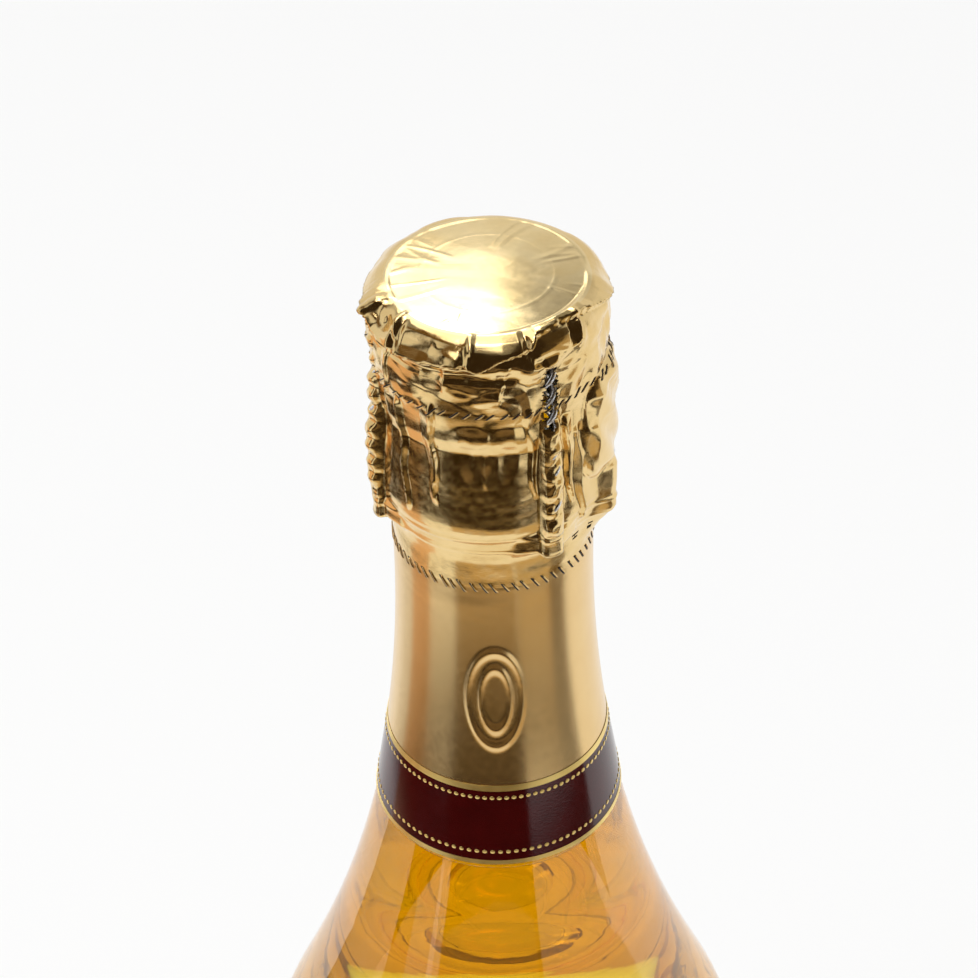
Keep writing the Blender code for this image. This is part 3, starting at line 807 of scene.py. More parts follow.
@dataclass(frozen=True)
class Dent:
    """A smooth hollow, or a swelling where its rise is above nothing. Sizes are in mm."""

    place: tuple[float, float]
    half: tuple[float, float]
    rise: float
    tilt: float = 0.0

    def relief(self, azimuth: np.ndarray, height: np.ndarray, radius: np.ndarray) -> np.ndarray:
        """How far the dent moves the foil, in mm.

        Args:
            azimuth: the places' azimuths, in degrees.
            height: their heights, in mm.
            radius: their radii, in mm.

        Returns:
            The lift at each place.
        """
        side = np.radians(apart(azimuth, self.place[0])) * radius
        up = height - self.place[1]
        turn = math.radians(self.tilt)
        along = side * math.cos(turn) + up * math.sin(turn)
        across = up * math.cos(turn) - side * math.sin(turn)
        reach = (along / self.half[0]) ** 2 + (across / self.half[1]) ** 2
        return self.rise * np.clip(1 - reach, 0, 1) ** 1.5


@dataclass(frozen=True)
class Tear:
    """A hole torn in the foil. Heights and widths are in mm."""

    azimuth: float
    top: float
    bottom: float
    half_width: float
    ragged: float = 0.25

    def covers(self, azimuth: np.ndarray, height: np.ndarray, radius: np.ndarray) -> np.ndarray:
        """Which places lie in the hole.

        Args:
            azimuth: the places' azimuths, in degrees.
            height: their heights, in mm.
            radius: their radii, in mm.

        Returns:
            True where the foil is gone.
        """
        side = np.radians(apart(azimuth, self.azimuth)) * radius
        middle = (self.top + self.bottom) / 2
        reach = np.abs(height - middle) / ((self.top - self.bottom) / 2)
        edge = self.half_width * np.clip(1 - reach**4, 0, 1) ** 0.5
        teeth = self.ragged * (np.sin(height * 5.1) + np.sin(height * 8.7 + side))
        return (np.abs(side) < edge + teeth * (edge > 0)) & (reach < 1)


@dataclass
class FoilRelief:
    """The shape of the foil round the cork, cage and ring. Its values are in mm, for short.

    The folded edge is where the foil of the top ends over the hood's side: its places are azimuths
    and heights. The ear is the corner of that edge that stands out at the left.
    """

    leg_azimuths: tuple = (29.6, 120.0, 205.0, 285.0)
    leg_heights: tuple = (278.2, 279.1, 281.9, 283.2, 292.6, 308.8, 314.9, 315.5, 316.0)
    leg_middles: tuple = (14.5, 17.75, 17.75, 17.67, 17.67, 16.37, 16.38, 16.0, 12.0)
    leg_top: float = 315.0
    leg_pitch: float = 3.175
    leg_fall: float = 1.25
    strand: float = 0.72
    sleeve_half: float = 1.55
    key_azimuth: float = 75.0
    key_bulge: float = 18.6
    belt_reach: float = 16.05
    crease_radius: float = 13.8
    hood_foot: float = 270.0
    top_height: float = 317.0
    fold_step: float = 0.95
    fold_edge: tuple = (
        (-180, 315), (-150, 314.4), (-128, 315.4), (-100, 314.6), (-82, 315.8), (-73, 315.2), (-66, 313.6),
        (-50, 313.3), (-46, 313.5), (-30, 313.8), (-12, 314.4), (-6, 313.4), (6, 315.2), (20, 316.0),
        (24, 317.2), (40, 317.6), (58, 317.2), (80, 315.5), (105, 314.2), (140, 315.3), (180, 315),
    )
    ear: tuple[float, float] = (-73.0, 315.6)
    ear_rise: float = 1.0
    ornament_height: float = 250.0
    ornament_rise: float = 0.2
    seed: int = 7
    pleats: list[Pleat] = field(default_factory=list)
    dents: list[Dent] = field(default_factory=list)

    def __post_init__(self) -> None:
        """Adds the folds that the front shows, and chance ones on the far side."""
        self.pleats += [
            Pleat((-51, 305.2), (-46.5, 284.6), 0.75, 0.7, 1.2),
            Pleat((-30.5, 306.6), (-28, 288.2), 0.85, 1.9, 0.45),
            Pleat((-56, 313.5), (-61, 303.5), 0.5, 1.4, 0.6),
            Pleat((17.5, 306.5), (21, 289.5), 0.35, 0.6, 1.2),
            Pleat((38, 303), (42, 286), 0.8, 0.5, 1.3),
            Pleat((46, 300), (52, 280.5), 0.7, 1.6, 0.6),
            Pleat((-3, 306.5), (-4, 292), 0.14, 0.9, 0.9),
            Pleat((8, 314.6), (4, 307.4), 0.22, 1.0, 0.4),
            Pleat((-20, 315), (-24, 309), 0.3, 0.5, 1.2),
            Pleat((-53, 318.15), (-46, 313.2), 0.55, 0.45, 1.1),
            Pleat((-70, 318.1), (-74, 313.4), 0.7, 1.6, 0.7),
            Pleat((-10, 318.15), (-7, 315), 0.22, 0.5, 0.9),
            Pleat((21, 318.1), (19, 313), 0.3, 0.5, 0.8),
            Pleat((53, 318.15), (46, 313.5), 0.45, 0.7, 0.5),
        ]
        self.dents += [
            Dent((-13, 311.3), (3.0, 2.6), -0.42, 20), Dent((9, 310.6), (3.0, 3.6), -0.3, -10),
            Dent((-2, 308.6), (2.6, 1.3), 0.24, 15), Dent((-28, 311), (2.2, 3.2), -0.35, 0),
            Dent((19, 312.3), (2.0, 3.0), 0.35, 30), Dent((42, 311.5), (3.4, 2.6), -0.4, 30),
            Dent((60, 309.5), (3.6, 2.4), 0.35, -30), Dent((-43, 309), (2.6, 3.0), 0.3, 10),
            Dent((-10.5, 301.2), (3.4, 2.5), 0.34, 4), Dent((10, 301.2), (3.2, 2.5), 0.34, -4),
            Dent((-66, 296), (2.0, 8.0), -0.5, 0), Dent((-12.5, 297.2), (1.5, 4.6), -0.22, 4),
            Dent((-3, 297.6), (1.3, 3.4), -0.2, -3), Dent((7.5, 297.0), (1.6, 4.8), -0.22, -5),
            Dent((36, 293), (1.6, 8.0), -0.55, 0),
            Dent((-61, 316.2), (2.6, 1.6), -0.5, -10), Dent((-38, 315.6), (3.6, 1.7), -0.45, 8),
            Dent((-20, 315.4), (2.2, 1.1), 0.25, 0), Dent((43, 315.9), (2.6, 1.9), -0.5, 0),
            Dent((66, 315), (3.0, 2.2), -0.4, 0),
        ]
        rng = np.random.default_rng(self.seed)
        for _ in range(26):
            azimuth = rng.uniform(88, 280)
            top = rng.uniform(297, 315)
            self.pleats.append(Pleat(
                (azimuth, top), (azimuth + rng.uniform(-6, 6), top - rng.uniform(6, 15)),
                rng.uniform(0.25, 0.8), rng.uniform(0.5, 1.8), rng.uniform(0.5, 1.8),
            ))
        for _ in range(34):
            self.dents.append(Dent(
                (rng.uniform(85, 285), rng.uniform(287, 315)),
                (rng.uniform(1.5, 3.5), rng.uniform(1.5, 4.5)),
                rng.uniform(-0.45, 0.35), rng.uniform(-60, 60),
            ))

    def crumple(self, places: np.ndarray, size: float, layers: int, seed: int) -> np.ndarray:
        """Creased relief, from -1 to 1: waves with sharp crests, each bent by the one before it.

        Args:
            places: points in mm.
            size: the largest wave, in mm.
            layers: how many waves are laid over each other.
            seed: picks the waves.

        Returns:
            The relief at each place.
        """
        rng = np.random.default_rng(seed)
        total = np.zeros(len(places))
        weight = 0.0
        bend = np.zeros(len(places))
        for layer in range(layers):
            way = rng.normal(size=3)
            way /= np.linalg.norm(way)
            period = size * rng.uniform(0.75, 1.35) / 1.35**layer
            along = places @ way / period + rng.uniform(0, 1) + bend * 0.45
            fold = 1 - 4 * np.abs(along % 1 - 0.5)
            bend = bend + np.sin(along * 2.3 + layer)
            total += fold * period
            weight += period
        return total / weight

    def over_legs(self, azimuth: np.ndarray, height: np.ndarray, radius: np.ndarray) -> np.ndarray:
        """The foil stretched over each twisted leg, down to its eye under the ring.

        Args:
            azimuth: the places' azimuths, in degrees.
            height: their heights, in mm.
            radius: their radii, in mm.

        Returns:
            The lift at each place, in mm.
        """
        middle = np.interp(height, self.leg_heights, self.leg_middles)
        twisted = (height > 283) & (height < 315)
        total = np.zeros_like(height)
        for leg in self.leg_azimuths:
            side = np.radians(apart(azimuth, leg)) * radius
            turn = math.pi * (self.leg_top - height) / self.leg_pitch
            strands = []
            for way in (1, -1):
                off = (side - way * self.strand * np.cos(turn)) / 1.05
                strands.append(way * self.strand * np.sin(turn) + 0.62 * np.sqrt(np.clip(1 - off**2, 0, 1)))
            sleeve = np.sqrt(np.clip(1 - (side / self.sleeve_half) ** 2, 0, 1))
            slack = 0.2 * np.sin(height * 0.83 + leg) + 0.14 * np.sin(height * 2.1 + 2 * leg)
            lump = np.where(twisted, 0.42 * np.maximum(*strands) + (0.72 + slack) * sleeve, 0.66 * sleeve)
            lump = np.minimum(lump, np.interp(height, (313.4, 315), (1.35, 0.6)))
            crest = np.where(np.abs(side) < self.sleeve_half, middle + lump, 0)
            fall = np.maximum(np.abs(side) - 1.15, 0) * self.leg_fall
            tail = np.minimum(middle + 0.3 - fall, middle + 0.3)
            bend = np.interp(height, (314.2, 315.4, 317.3, 317.8), (0, 0.27, 0.27, 0))
            bend *= np.clip(1 - (side / 4.2) ** 2, 0, 1)
            total = np.maximum(total, np.maximum(np.maximum(crest, tail) - radius, bend))
        return total

    def over_key(self, azimuth: np.ndarray, height: np.ndarray, radius: np.ndarray) -> np.ndarray:
        """The foil over the folded key: a broad bulge with slanting ripples, and its twisted foot.

        Args:
            azimuth: the places' azimuths, in degrees.
            height: their heights, in mm.
            radius: their radii, in mm.

        Returns:
            The lift at each place, in mm.
        """
        side = np.radians(apart(azimuth, self.key_azimuth)) * radius
        up = height - 296.5
        reach = np.clip(1 - np.abs(side / 7.4) ** 3 - np.abs(up / 9.8) ** 4, 0, 1)
        bulge = np.clip(self.key_bulge - radius, 0, 3) * np.clip(reach * 1.5, 0, 1) ** 0.7
        ripple = 0.24 * np.cos(math.tau * (side * 0.62 + up * 0.42) / 3.6) * np.minimum(1, reach * 2)
        foot = np.exp(-((side / 2.5) ** 2)) * np.interp(height, (273.8, 279.9, 287, 293), (0, 1, 1, 0))
        return np.maximum(bulge + ripple, foot * np.maximum(19.15 - radius, 0))

    def belt(self, azimuth: np.ndarray, height: np.ndarray) -> np.ndarray:
        """The fine ridges where the foil wraps the belt wire.

        Args:
            azimuth: the places' azimuths, in degrees.
            height: their heights, in mm.

        Returns:
            The lift at each place, in mm.
        """
        wander = 0.25 * np.sin(np.radians(azimuth * 3 + 40))
        upper = 0.16 * np.exp(-(((height - 281.9 - wander) / 0.32) ** 2))
        lower = 0.15 * np.exp(-(((height - 279.2 - wander / 2) / 0.3) ** 2))
        return upper + lower

    def over_belt(self, azimuth: np.ndarray, height: np.ndarray, radius: np.ndarray) -> np.ndarray:
        """The foil pushed out where the belt wire stands off the neck near a leg's eye.

        Args:
            azimuth: the places' azimuths, in degrees.
            height: their heights, in mm.
            radius: their radii, in mm.

        Returns:
            The lift at each place, in mm.
        """
        near = np.min([np.abs(apart(azimuth, leg)) for leg in self.leg_azimuths], axis=0)
        bump = np.cos(math.pi / 2 * np.clip(near / 27, 0, 1)) ** 2
        reach = self.belt_reach + 1.4 * bump
        fade = np.interp(height, (277.9, 279.7, 281.6, 283.2), (0, 1, 1, 0)) * np.clip(bump * 4, 0, 1)
        return np.maximum(reach - radius, 0) * fade

    def folded_edge(self, azimuth: np.ndarray, height: np.ndarray, radius: np.ndarray) -> np.ndarray:
        """The step where the top's folded edge lies on the side, the hollow under it, and its ear.

        Args:
            azimuth: the places' azimuths, in degrees.
            height: their heights, in mm.
            radius: their radii, in mm.

        Returns:
            The lift at each place, in mm.
        """
        above = height - np.interp(azimuth, *zip(*self.fold_edge))
        lap = np.clip(above / 0.14, 0, 1) * np.exp(-np.maximum(above, 0) / 1.3)
        lap *= np.clip((radius - self.crease_radius) / 0.5, 0, 1)
        hollow = 0.35 * np.exp(-np.maximum(-above, 0) / 1.1) * (above < 0) * (height > 308)
        ear = np.clip(1 - np.abs(apart(azimuth, self.ear[0])) / 11, 0, 1)
        ear *= np.clip(1 - np.abs(height - self.ear[1]) / 2.2, 0, 1) * (radius > self.crease_radius)
        return self.fold_step * lap - hollow + self.ear_rise * ear

    def petals(self, azimuth: np.ndarray, height: np.ndarray) -> np.ndarray:
        """The flat folds between the crown's crease and the folded edge, with sharp lines between them.

        Args:
            azimuth: the places' azimuths, in degrees.
            height: their heights, in mm.

        Returns:
            The lift at each place, in mm.
        """
        heights = (312.4, 313.7, 314.9, 316.1, 317.1, 317.8)
        folds = {
            -95: (0, 0, 0, 0, 0, 0), -77: (0, 0.2, 0.6, 0.6, 0.3, 0), -65: (-0.2, 0.5, 0.1, -0.35, 0, 0),
            -53: (-0.3, 0.3, 0.7, 0.6, 0.5, 0.1), -49.5: (-0.4, -0.4, -0.3, -0.3, -0.2, 0),
            -46: (-0.3, 0.5, 0.3, 0.1, 0.1, 0), -30: (-0.3, 0.6, -0.1, -0.25, 0, 0),
            -15: (-0.4, 0.6, 0.4, 0.15, 0.1, 0), -12.5: (-0.5, 0.1, -0.2, 0.1, 0.2, 0),
            -10: (-0.4, 0.2, 0.2, 0.5, 0.4, 0.1), 4: (-0.4, -0.3, 0, 0.6, 0.5, 0.1),
            15: (0, -0.1, 0, 0.4, 0.4, 0.1), 18: (0, 0, -0.2, -0.4, -0.3, 0),
            22: (0.1, 0.2, 0.3, 0.1, 0.1, 0), 44: (0.1, 0.2, 0.1, -0.2, -0.2, 0),
            50: (0, 0.3, 0.6, 0.6, 0.4, 0.1), 54: (-0.1, 0.1, 0.1, 0.2, 0.3, 0.1),
            64: (-0.1, 0, 0.1, 0.1, 0, 0), 78: (0, 0.2, 0.5, 0.4, 0.2, 0), 100: (0, 0, 0, 0, 0, 0),
        }
        places = np.array(list(folds))
        lifts = np.array([np.interp(height, heights, lift) for lift in folds.values()])
        after = np.clip(np.searchsorted(places, azimuth), 1, len(places) - 1)
        share = np.clip((azimuth - places[after - 1]) / (places[after] - places[after - 1]), 0, 1)
        rows = np.arange(len(azimuth))
        lift = lifts[after - 1, rows] * (1 - share) + lifts[after, rows] * share
        return lift * (height > heights[0] - 1) * (height < heights[-1] + 0.1)

    def ornament(self, azimuth: np.ndarray, height: np.ndarray, radius: np.ndarray) -> np.ndarray:
        """A plain double oval pressed into the neck foil.

        Args:
            azimuth: the places' azimuths, in degrees.
            height: their heights, in mm.
            radius: their radii, in mm.

        Returns:
            The lift at each place, in mm.
        """
        side = np.radians(apart(azimuth, -1)) * radius
        up = height - self.ornament_height
        oval = np.abs(np.hypot(side / 4.3, up / 9.2) - 1) * 4.3
        inner = np.abs(np.hypot(side / 2.3, up / 6.0) - 1) * 2.3
        ridges = np.clip(1 - oval / 0.55, 0, 1) + np.clip(1 - inner / 0.5, 0, 1)
        return self.ornament_rise * np.minimum(ridges, 1) * (np.abs(up) < 12)

    def top(self, azimuth: np.ndarray, radius: np.ndarray) -> np.ndarray:
        """Creases that run out over the flat top, and the round line pressed into it.

        Args:
            azimuth: the places' azimuths, in degrees.
            radius: their radii, in mm.

        Returns:
            The lift at each place, in mm.
        """
        rng = np.random.default_rng(self.seed + 3)
        total = 0.02 * np.exp(-(((radius - 9.7) / 0.18) ** 2))
        for _ in range(22):
            middle = rng.uniform(-180, 180)
            inner = rng.uniform(4, 12)
            rise = rng.uniform(0.015, 0.05)
            side = np.radians(apart(azimuth, middle + (radius - 12) * rng.uniform(-2.5, 2.5))) * radius
            fade = np.clip((radius - inner) / 2.5, 0, 1)
            total += rise * fade * np.clip(1 - np.abs(side) / rng.uniform(0.35, 0.9), 0, 1)
        return total

    def relief(self, azimuth: np.ndarray, radius: np.ndarray, height: np.ndarray) -> np.ndarray:
        """How far the foil stands out of its plain outline.

        Args:
            azimuth: in degrees.
            radius: of the plain outline, in mm.
            height: of the plain outline, in mm.

        Returns:
            The distance along the outline's normal, in mm.
        """
        turn = np.radians(azimuth)
        places = np.stack([radius * np.sin(turn), -radius * np.cos(turn), height], axis=1)
        past_crease = radius - self.crease_radius
        on_side = np.clip(past_crease, 0, 1) * (height > self.hood_foot)
        on_top = (height > self.top_height) & (past_crease < 0.1)
        legs = self.over_legs(azimuth, height, radius) * np.clip(past_crease / 0.8, 0, 1)
        side = legs * (height > self.hood_foot)
        side = np.maximum(side, self.over_key(azimuth, height, radius) * on_side)
        side = np.maximum(side, self.over_belt(azimuth, height, radius))
        side += self.belt(azimuth, height)
        for feature in self.pleats + self.dents:
            side += feature.relief(azimuth, height, radius) * on_side
        side += self.folded_edge(azimuth, height, radius)
        strong = np.interp(height, (264, 271, 276, 284, 288, 301, 306, 312, 316, 317.9),
                           (0, 0.02, 0.1, 0.06, 0.03, 0.07, 0.42, 0.55, 0.22, 0.06))
        side += strong * self.crumple(places, 8.5, 4, 21)
        side += self.petals(azimuth, height) * on_side
        side = np.where(legs > 0.02, np.maximum(side, legs - 0.06), side)
        side *= np.interp(height, (271.9, 272.05, 273.4), (1, 0, 1))
        side += self.ornament(azimuth, height, radius)
        flat = self.top(azimuth, radius) + 0.03 * self.crumple(places, 9, 3, 5)
        return np.where(on_top, flat, side)


@dataclass
class Foil:
    """The gold foil: hood, tear strip and neck skirt, with their rows of cuts and tears."""

    places: Places
    glass: Glassware
    finishes: Finishes
    relief: FoilRelief = field(default_factory=FoilRelief)
    thickness: float = 0.1 * MM
    sides: int = 480
    skirt_ease: float = 0.45 * MM
    crown: float = 0.66 * MM
    gathered: float = 0.08
    satin_radius: float = 14.9 * MM
    satin_drop: float = 1.5 * MM
    tears: tuple = (
        Tear(29.2, 312.9, 301.6, 1.08), Tear(51.6, 277.6, 276.4, 0.5), Tear(64.5, 277.4, 276.2, 0.4),
    )

    def side_outline(self) -> Outline:
        """The plain foil from its crease ring down to the lower cuts, without its bulges.

        Returns:
            The (radius, height) points.
        """
        hood = (
            (13.8, 318.0), (14.6, 317.88), (15.3, 317.62), (15.95, 317.15), (16.5, 316.45), (16.9, 315.6),
            (17.2, 314.5), (17.3, 313.2), (17.35, 309.5),
        )
        strip = (
            (17.02, 303.3), (17.0, 300.2), (16.66, 298.2), (16.85, 292.6), (16.95, 284.6), (16.88, 283.3),
            (16.5, 282.0), (16.2, 280.9), (15.98, 280.1), (15.68, 279.0), (15.38, 276.8),
        )
        outline = [(out * MM, up * MM) for out, up in hood] + [(17.3 * MM, self.places.upper_cuts)]
        outline += [(out * MM, up * MM) for out, up in strip]
        return outline + [(15.25 * MM, self.places.lower_cuts)]

    def sheet(
        self, name: str, outline: Outline, rows: int, materials: list, sides: int = 0
    ) -> bpy.types.Object:
        """Turns an outline, gives it the foil's relief and tears its holes.

        Args:
            name: the piece's name.
            outline: the plain outline.
            rows: the rows of faces along it.
            materials: the face's and the underside's materials.
            sides: the steps round, if other than usual.

        Returns:
            The thickened piece.
        """
        points = resampled(outline, rows)
        bm = wrapped(points, sides or self.sides)
        bmesh.ops.recalc_face_normals(bm, faces=bm.faces)
        foot = Vector((0, 0, min(height for _, height in points)))
        if sum(face.normal.dot(face.calc_center_median() - foot) for face in bm.faces) < 0:
            bmesh.ops.reverse_faces(bm, faces=bm.faces)
        bm.normal_update()
        base = np.array([vert.co for vert in bm.verts])
        normals = np.array([vert.normal for vert in bm.verts])
        azimuth = np.degrees(np.arctan2(base[:, 0], -base[:, 1]))
        radius = np.hypot(base[:, 0], base[:, 1])
        lift = self.relief.relief(azimuth, radius / MM, base[:, 2] / MM) * MM
        moved = base + normals * lift[:, None]
        for vert, spot in zip(bm.verts, moved):
            vert.co = spot
        centres = np.array([face.calc_center_median() for face in bm.faces])
        turn = np.degrees(np.arctan2(centres[:, 0], -centres[:, 1]))
        out = np.hypot(centres[:, 0], centres[:, 1]) / MM
        torn = np.zeros(len(centres), bool)
        for tear in self.tears:
            torn |= tear.covers(turn, centres[:, 2] / MM, out)
        bm.faces.ensure_lookup_table()
        gone = [bm.faces[index] for index in np.flatnonzero(torn)]
        bmesh.ops.delete(bm, geom=gone, context="FACES")
        piece = finish_mesh(name, bm, materials, 180, recalculate=False)
        self.sharpen_rims(piece.data)
        thicken(piece, self.thickness, -1, 1)
        return piece

    def sharpen_rims(self, mesh: bpy.types.Mesh) -> None:
        """Marks the sheet's open edges sharp, so that its rim leaves the shading of its face alone.

        Args:
            mesh: the sheet, before it is thickened.
        """
        used = np.zeros(len(mesh.loops), dtype=np.int32)
        mesh.loops.foreach_get("edge_index", used)
        for index in np.flatnonzero(np.bincount(used) == 1):
            mesh.edges[int(index)].use_edge_sharp = True

    def radius_at(self, azimuth: np.ndarray, height: np.ndarray) -> np.ndarray:
        """The foil's outer radii at azimuths and heights, above the lower cuts or on the skirt.

        Args:
            azimuth: in degrees.
            height: in metres.

        Returns:
            The radii, in metres.
        """
        points = np.array(self.side_outline())[::-1]
        plain = np.interp(height, points[:, 1], points[:, 0])
        lifted = plain + self.relief.relief(azimuth, plain / MM, height / MM) * MM
        skirt = np.array([self.skirt_radius(up) for up in height])
        return np.where(height < self.places.lower_cuts, skirt, lifted)

    def skirt_radius(self, height: float) -> float:
        """The skirt's outer radius at a height."""
        return self.glass.neck_glass(height) + self.skirt_ease + self.thickness

    def build_hood(self) -> None:
        """Makes the hood over the cork's head."""
        side = [point for point in self.side_outline() if point[1] >= self.places.upper_cuts]
        edge, base = side[0]
        dome = [(out, base + self.crown * (1 - (out / edge) ** 2)) for out in np.linspace(0, edge, 12)]
        materials = self.pair(Finish.FOIL) + self.pair(Finish.TOP_FOIL)
        piece = self.sheet("foil_hood_sheet", dome[:-1] + side, 104, materials)
        for face in piece.data.polygons:
            if face.center.xy.length < self.satin_radius and face.center.z > base - self.satin_drop:
                face.material_index = 2
        place(piece, "foil", "gold_foil", "foil_hood")

    def pair(self, face: Finish) -> list:
        """The materials of a sheet's face and underside."""
        return [self.finishes[face], self.finishes[Finish.FOIL_BACK]]

    def build_strip(self) -> None:
        """Makes the tear strip between the two rows of cuts."""
        side = [point for point in self.side_outline() if point[1] <= self.places.upper_cuts]
        piece = self.sheet("foil_strip_sheet", side, 96, self.pair(Finish.FOIL))
        place(piece, "foil", "gold_foil", "foil_tear_strip")
        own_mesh(piece)

    def build_skirt(self) -> None:
        """Makes the smooth foil down the neck."""
        heights = np.linspace(self.places.lower_cuts, self.places.hem, 70)
        outline = [(self.skirt_radius(height), height) for height in heights]
        piece = self.sheet("foil_skirt_sheet", outline, 124, self.pair(Finish.NECK_FOIL), 384)
        place(piece, "bottle", "gold_foil", "foil_skirt")

    def build(self) -> None:
        """Makes every foil piece."""
        self.build_hood()
        self.build_strip()
        self.build_skirt()
        upper = CutRow(self, self.places.upper_cuts, 62, 1, 0.55 * MM, 0.5 * MM, 0.1 * MM)
        lower = CutRow(self, self.places.lower_cuts, 60, -1, 0.55 * MM, 0.9 * MM, 0.14 * MM)
        upper.build("foil_upper_cuts", "foil")
        lower.build("foil_lower_cuts", "bottle")


@dataclass
class CutRow:
    """A ring of short slanting cuts, each a strip of painted shadow beside a raised lip."""

    foil: Foil
    height: float
    count: int
    slant: int
    half_side: float
    half_height: float
    lip: float
    # The width of the painted-shadow strip beside each cut's lip.
    gap: float = 0.3 * MM
    lip_width: float = 0.26 * MM
    proud: float = 0.05 * MM
    thickness: float = 0.04 * MM
    seed: int = 11

    def build(self, name: str, body: str) -> None:
        """Makes the whole row, with a lip and a strip of painted shadow for each cut.

        Args:
            name: the piece's name.
            body: the body that the row rides on.
        """
        rng = np.random.default_rng(self.seed + self.count)
        bm = bmesh.new()
        rows = []
        for step in range(self.count):
            azimuth = step * FULL_TURN / self.count + rng.uniform(-0.9, 0.9)
            size = rng.uniform(0.8, 1.15)
            lip = self.lip * rng.uniform(0.5, 1.2)
            # Each cut is a raised foil lip, then a flat strip of painted shadow.
            for index, (start, end, rise) in enumerate(((0, self.lip_width, lip), (-self.gap, 0, 0))):
                made = bmesh.ops.create_grid(bm, x_segments=6, y_segments=2, size=1)["verts"]
                for vert in made:
                    share = (vert.co.y + 1) / 2
                    across = start + (end - start) * share
                    rows.append((azimuth, size, vert.co.x, across, rise * (1 - share**2)))
                for face in {face for vert in made for face in vert.link_faces}:
                    face.material_index = index
        azimuth, size, along, across, rise = np.array(rows).T
        side = along * self.half_side * size + across
        height = self.height + self.slant * along * self.half_height * size
        turn = azimuth + np.degrees(side / self.foil.radius_at(azimuth, height))
        out = self.foil.radius_at(turn, height) + self.proud + rise * (1 - along**4)
        for vert, *spot in zip(bm.verts, turn, out, height):
            vert.co = at(*spot)
        # Material 1, the strip beside each lip, is painted shadow standing in for the shade inside the cut.
        materials = [self.foil.finishes[Finish.FOIL], self.foil.finishes[Finish.PAINTED_SHADE_STRIP]]
        piece = finish_mesh(name, bm, materials, 60, recalculate=False)
        thicken(piece, self.thickness, 0)
        place(piece, body, "gold_foil")


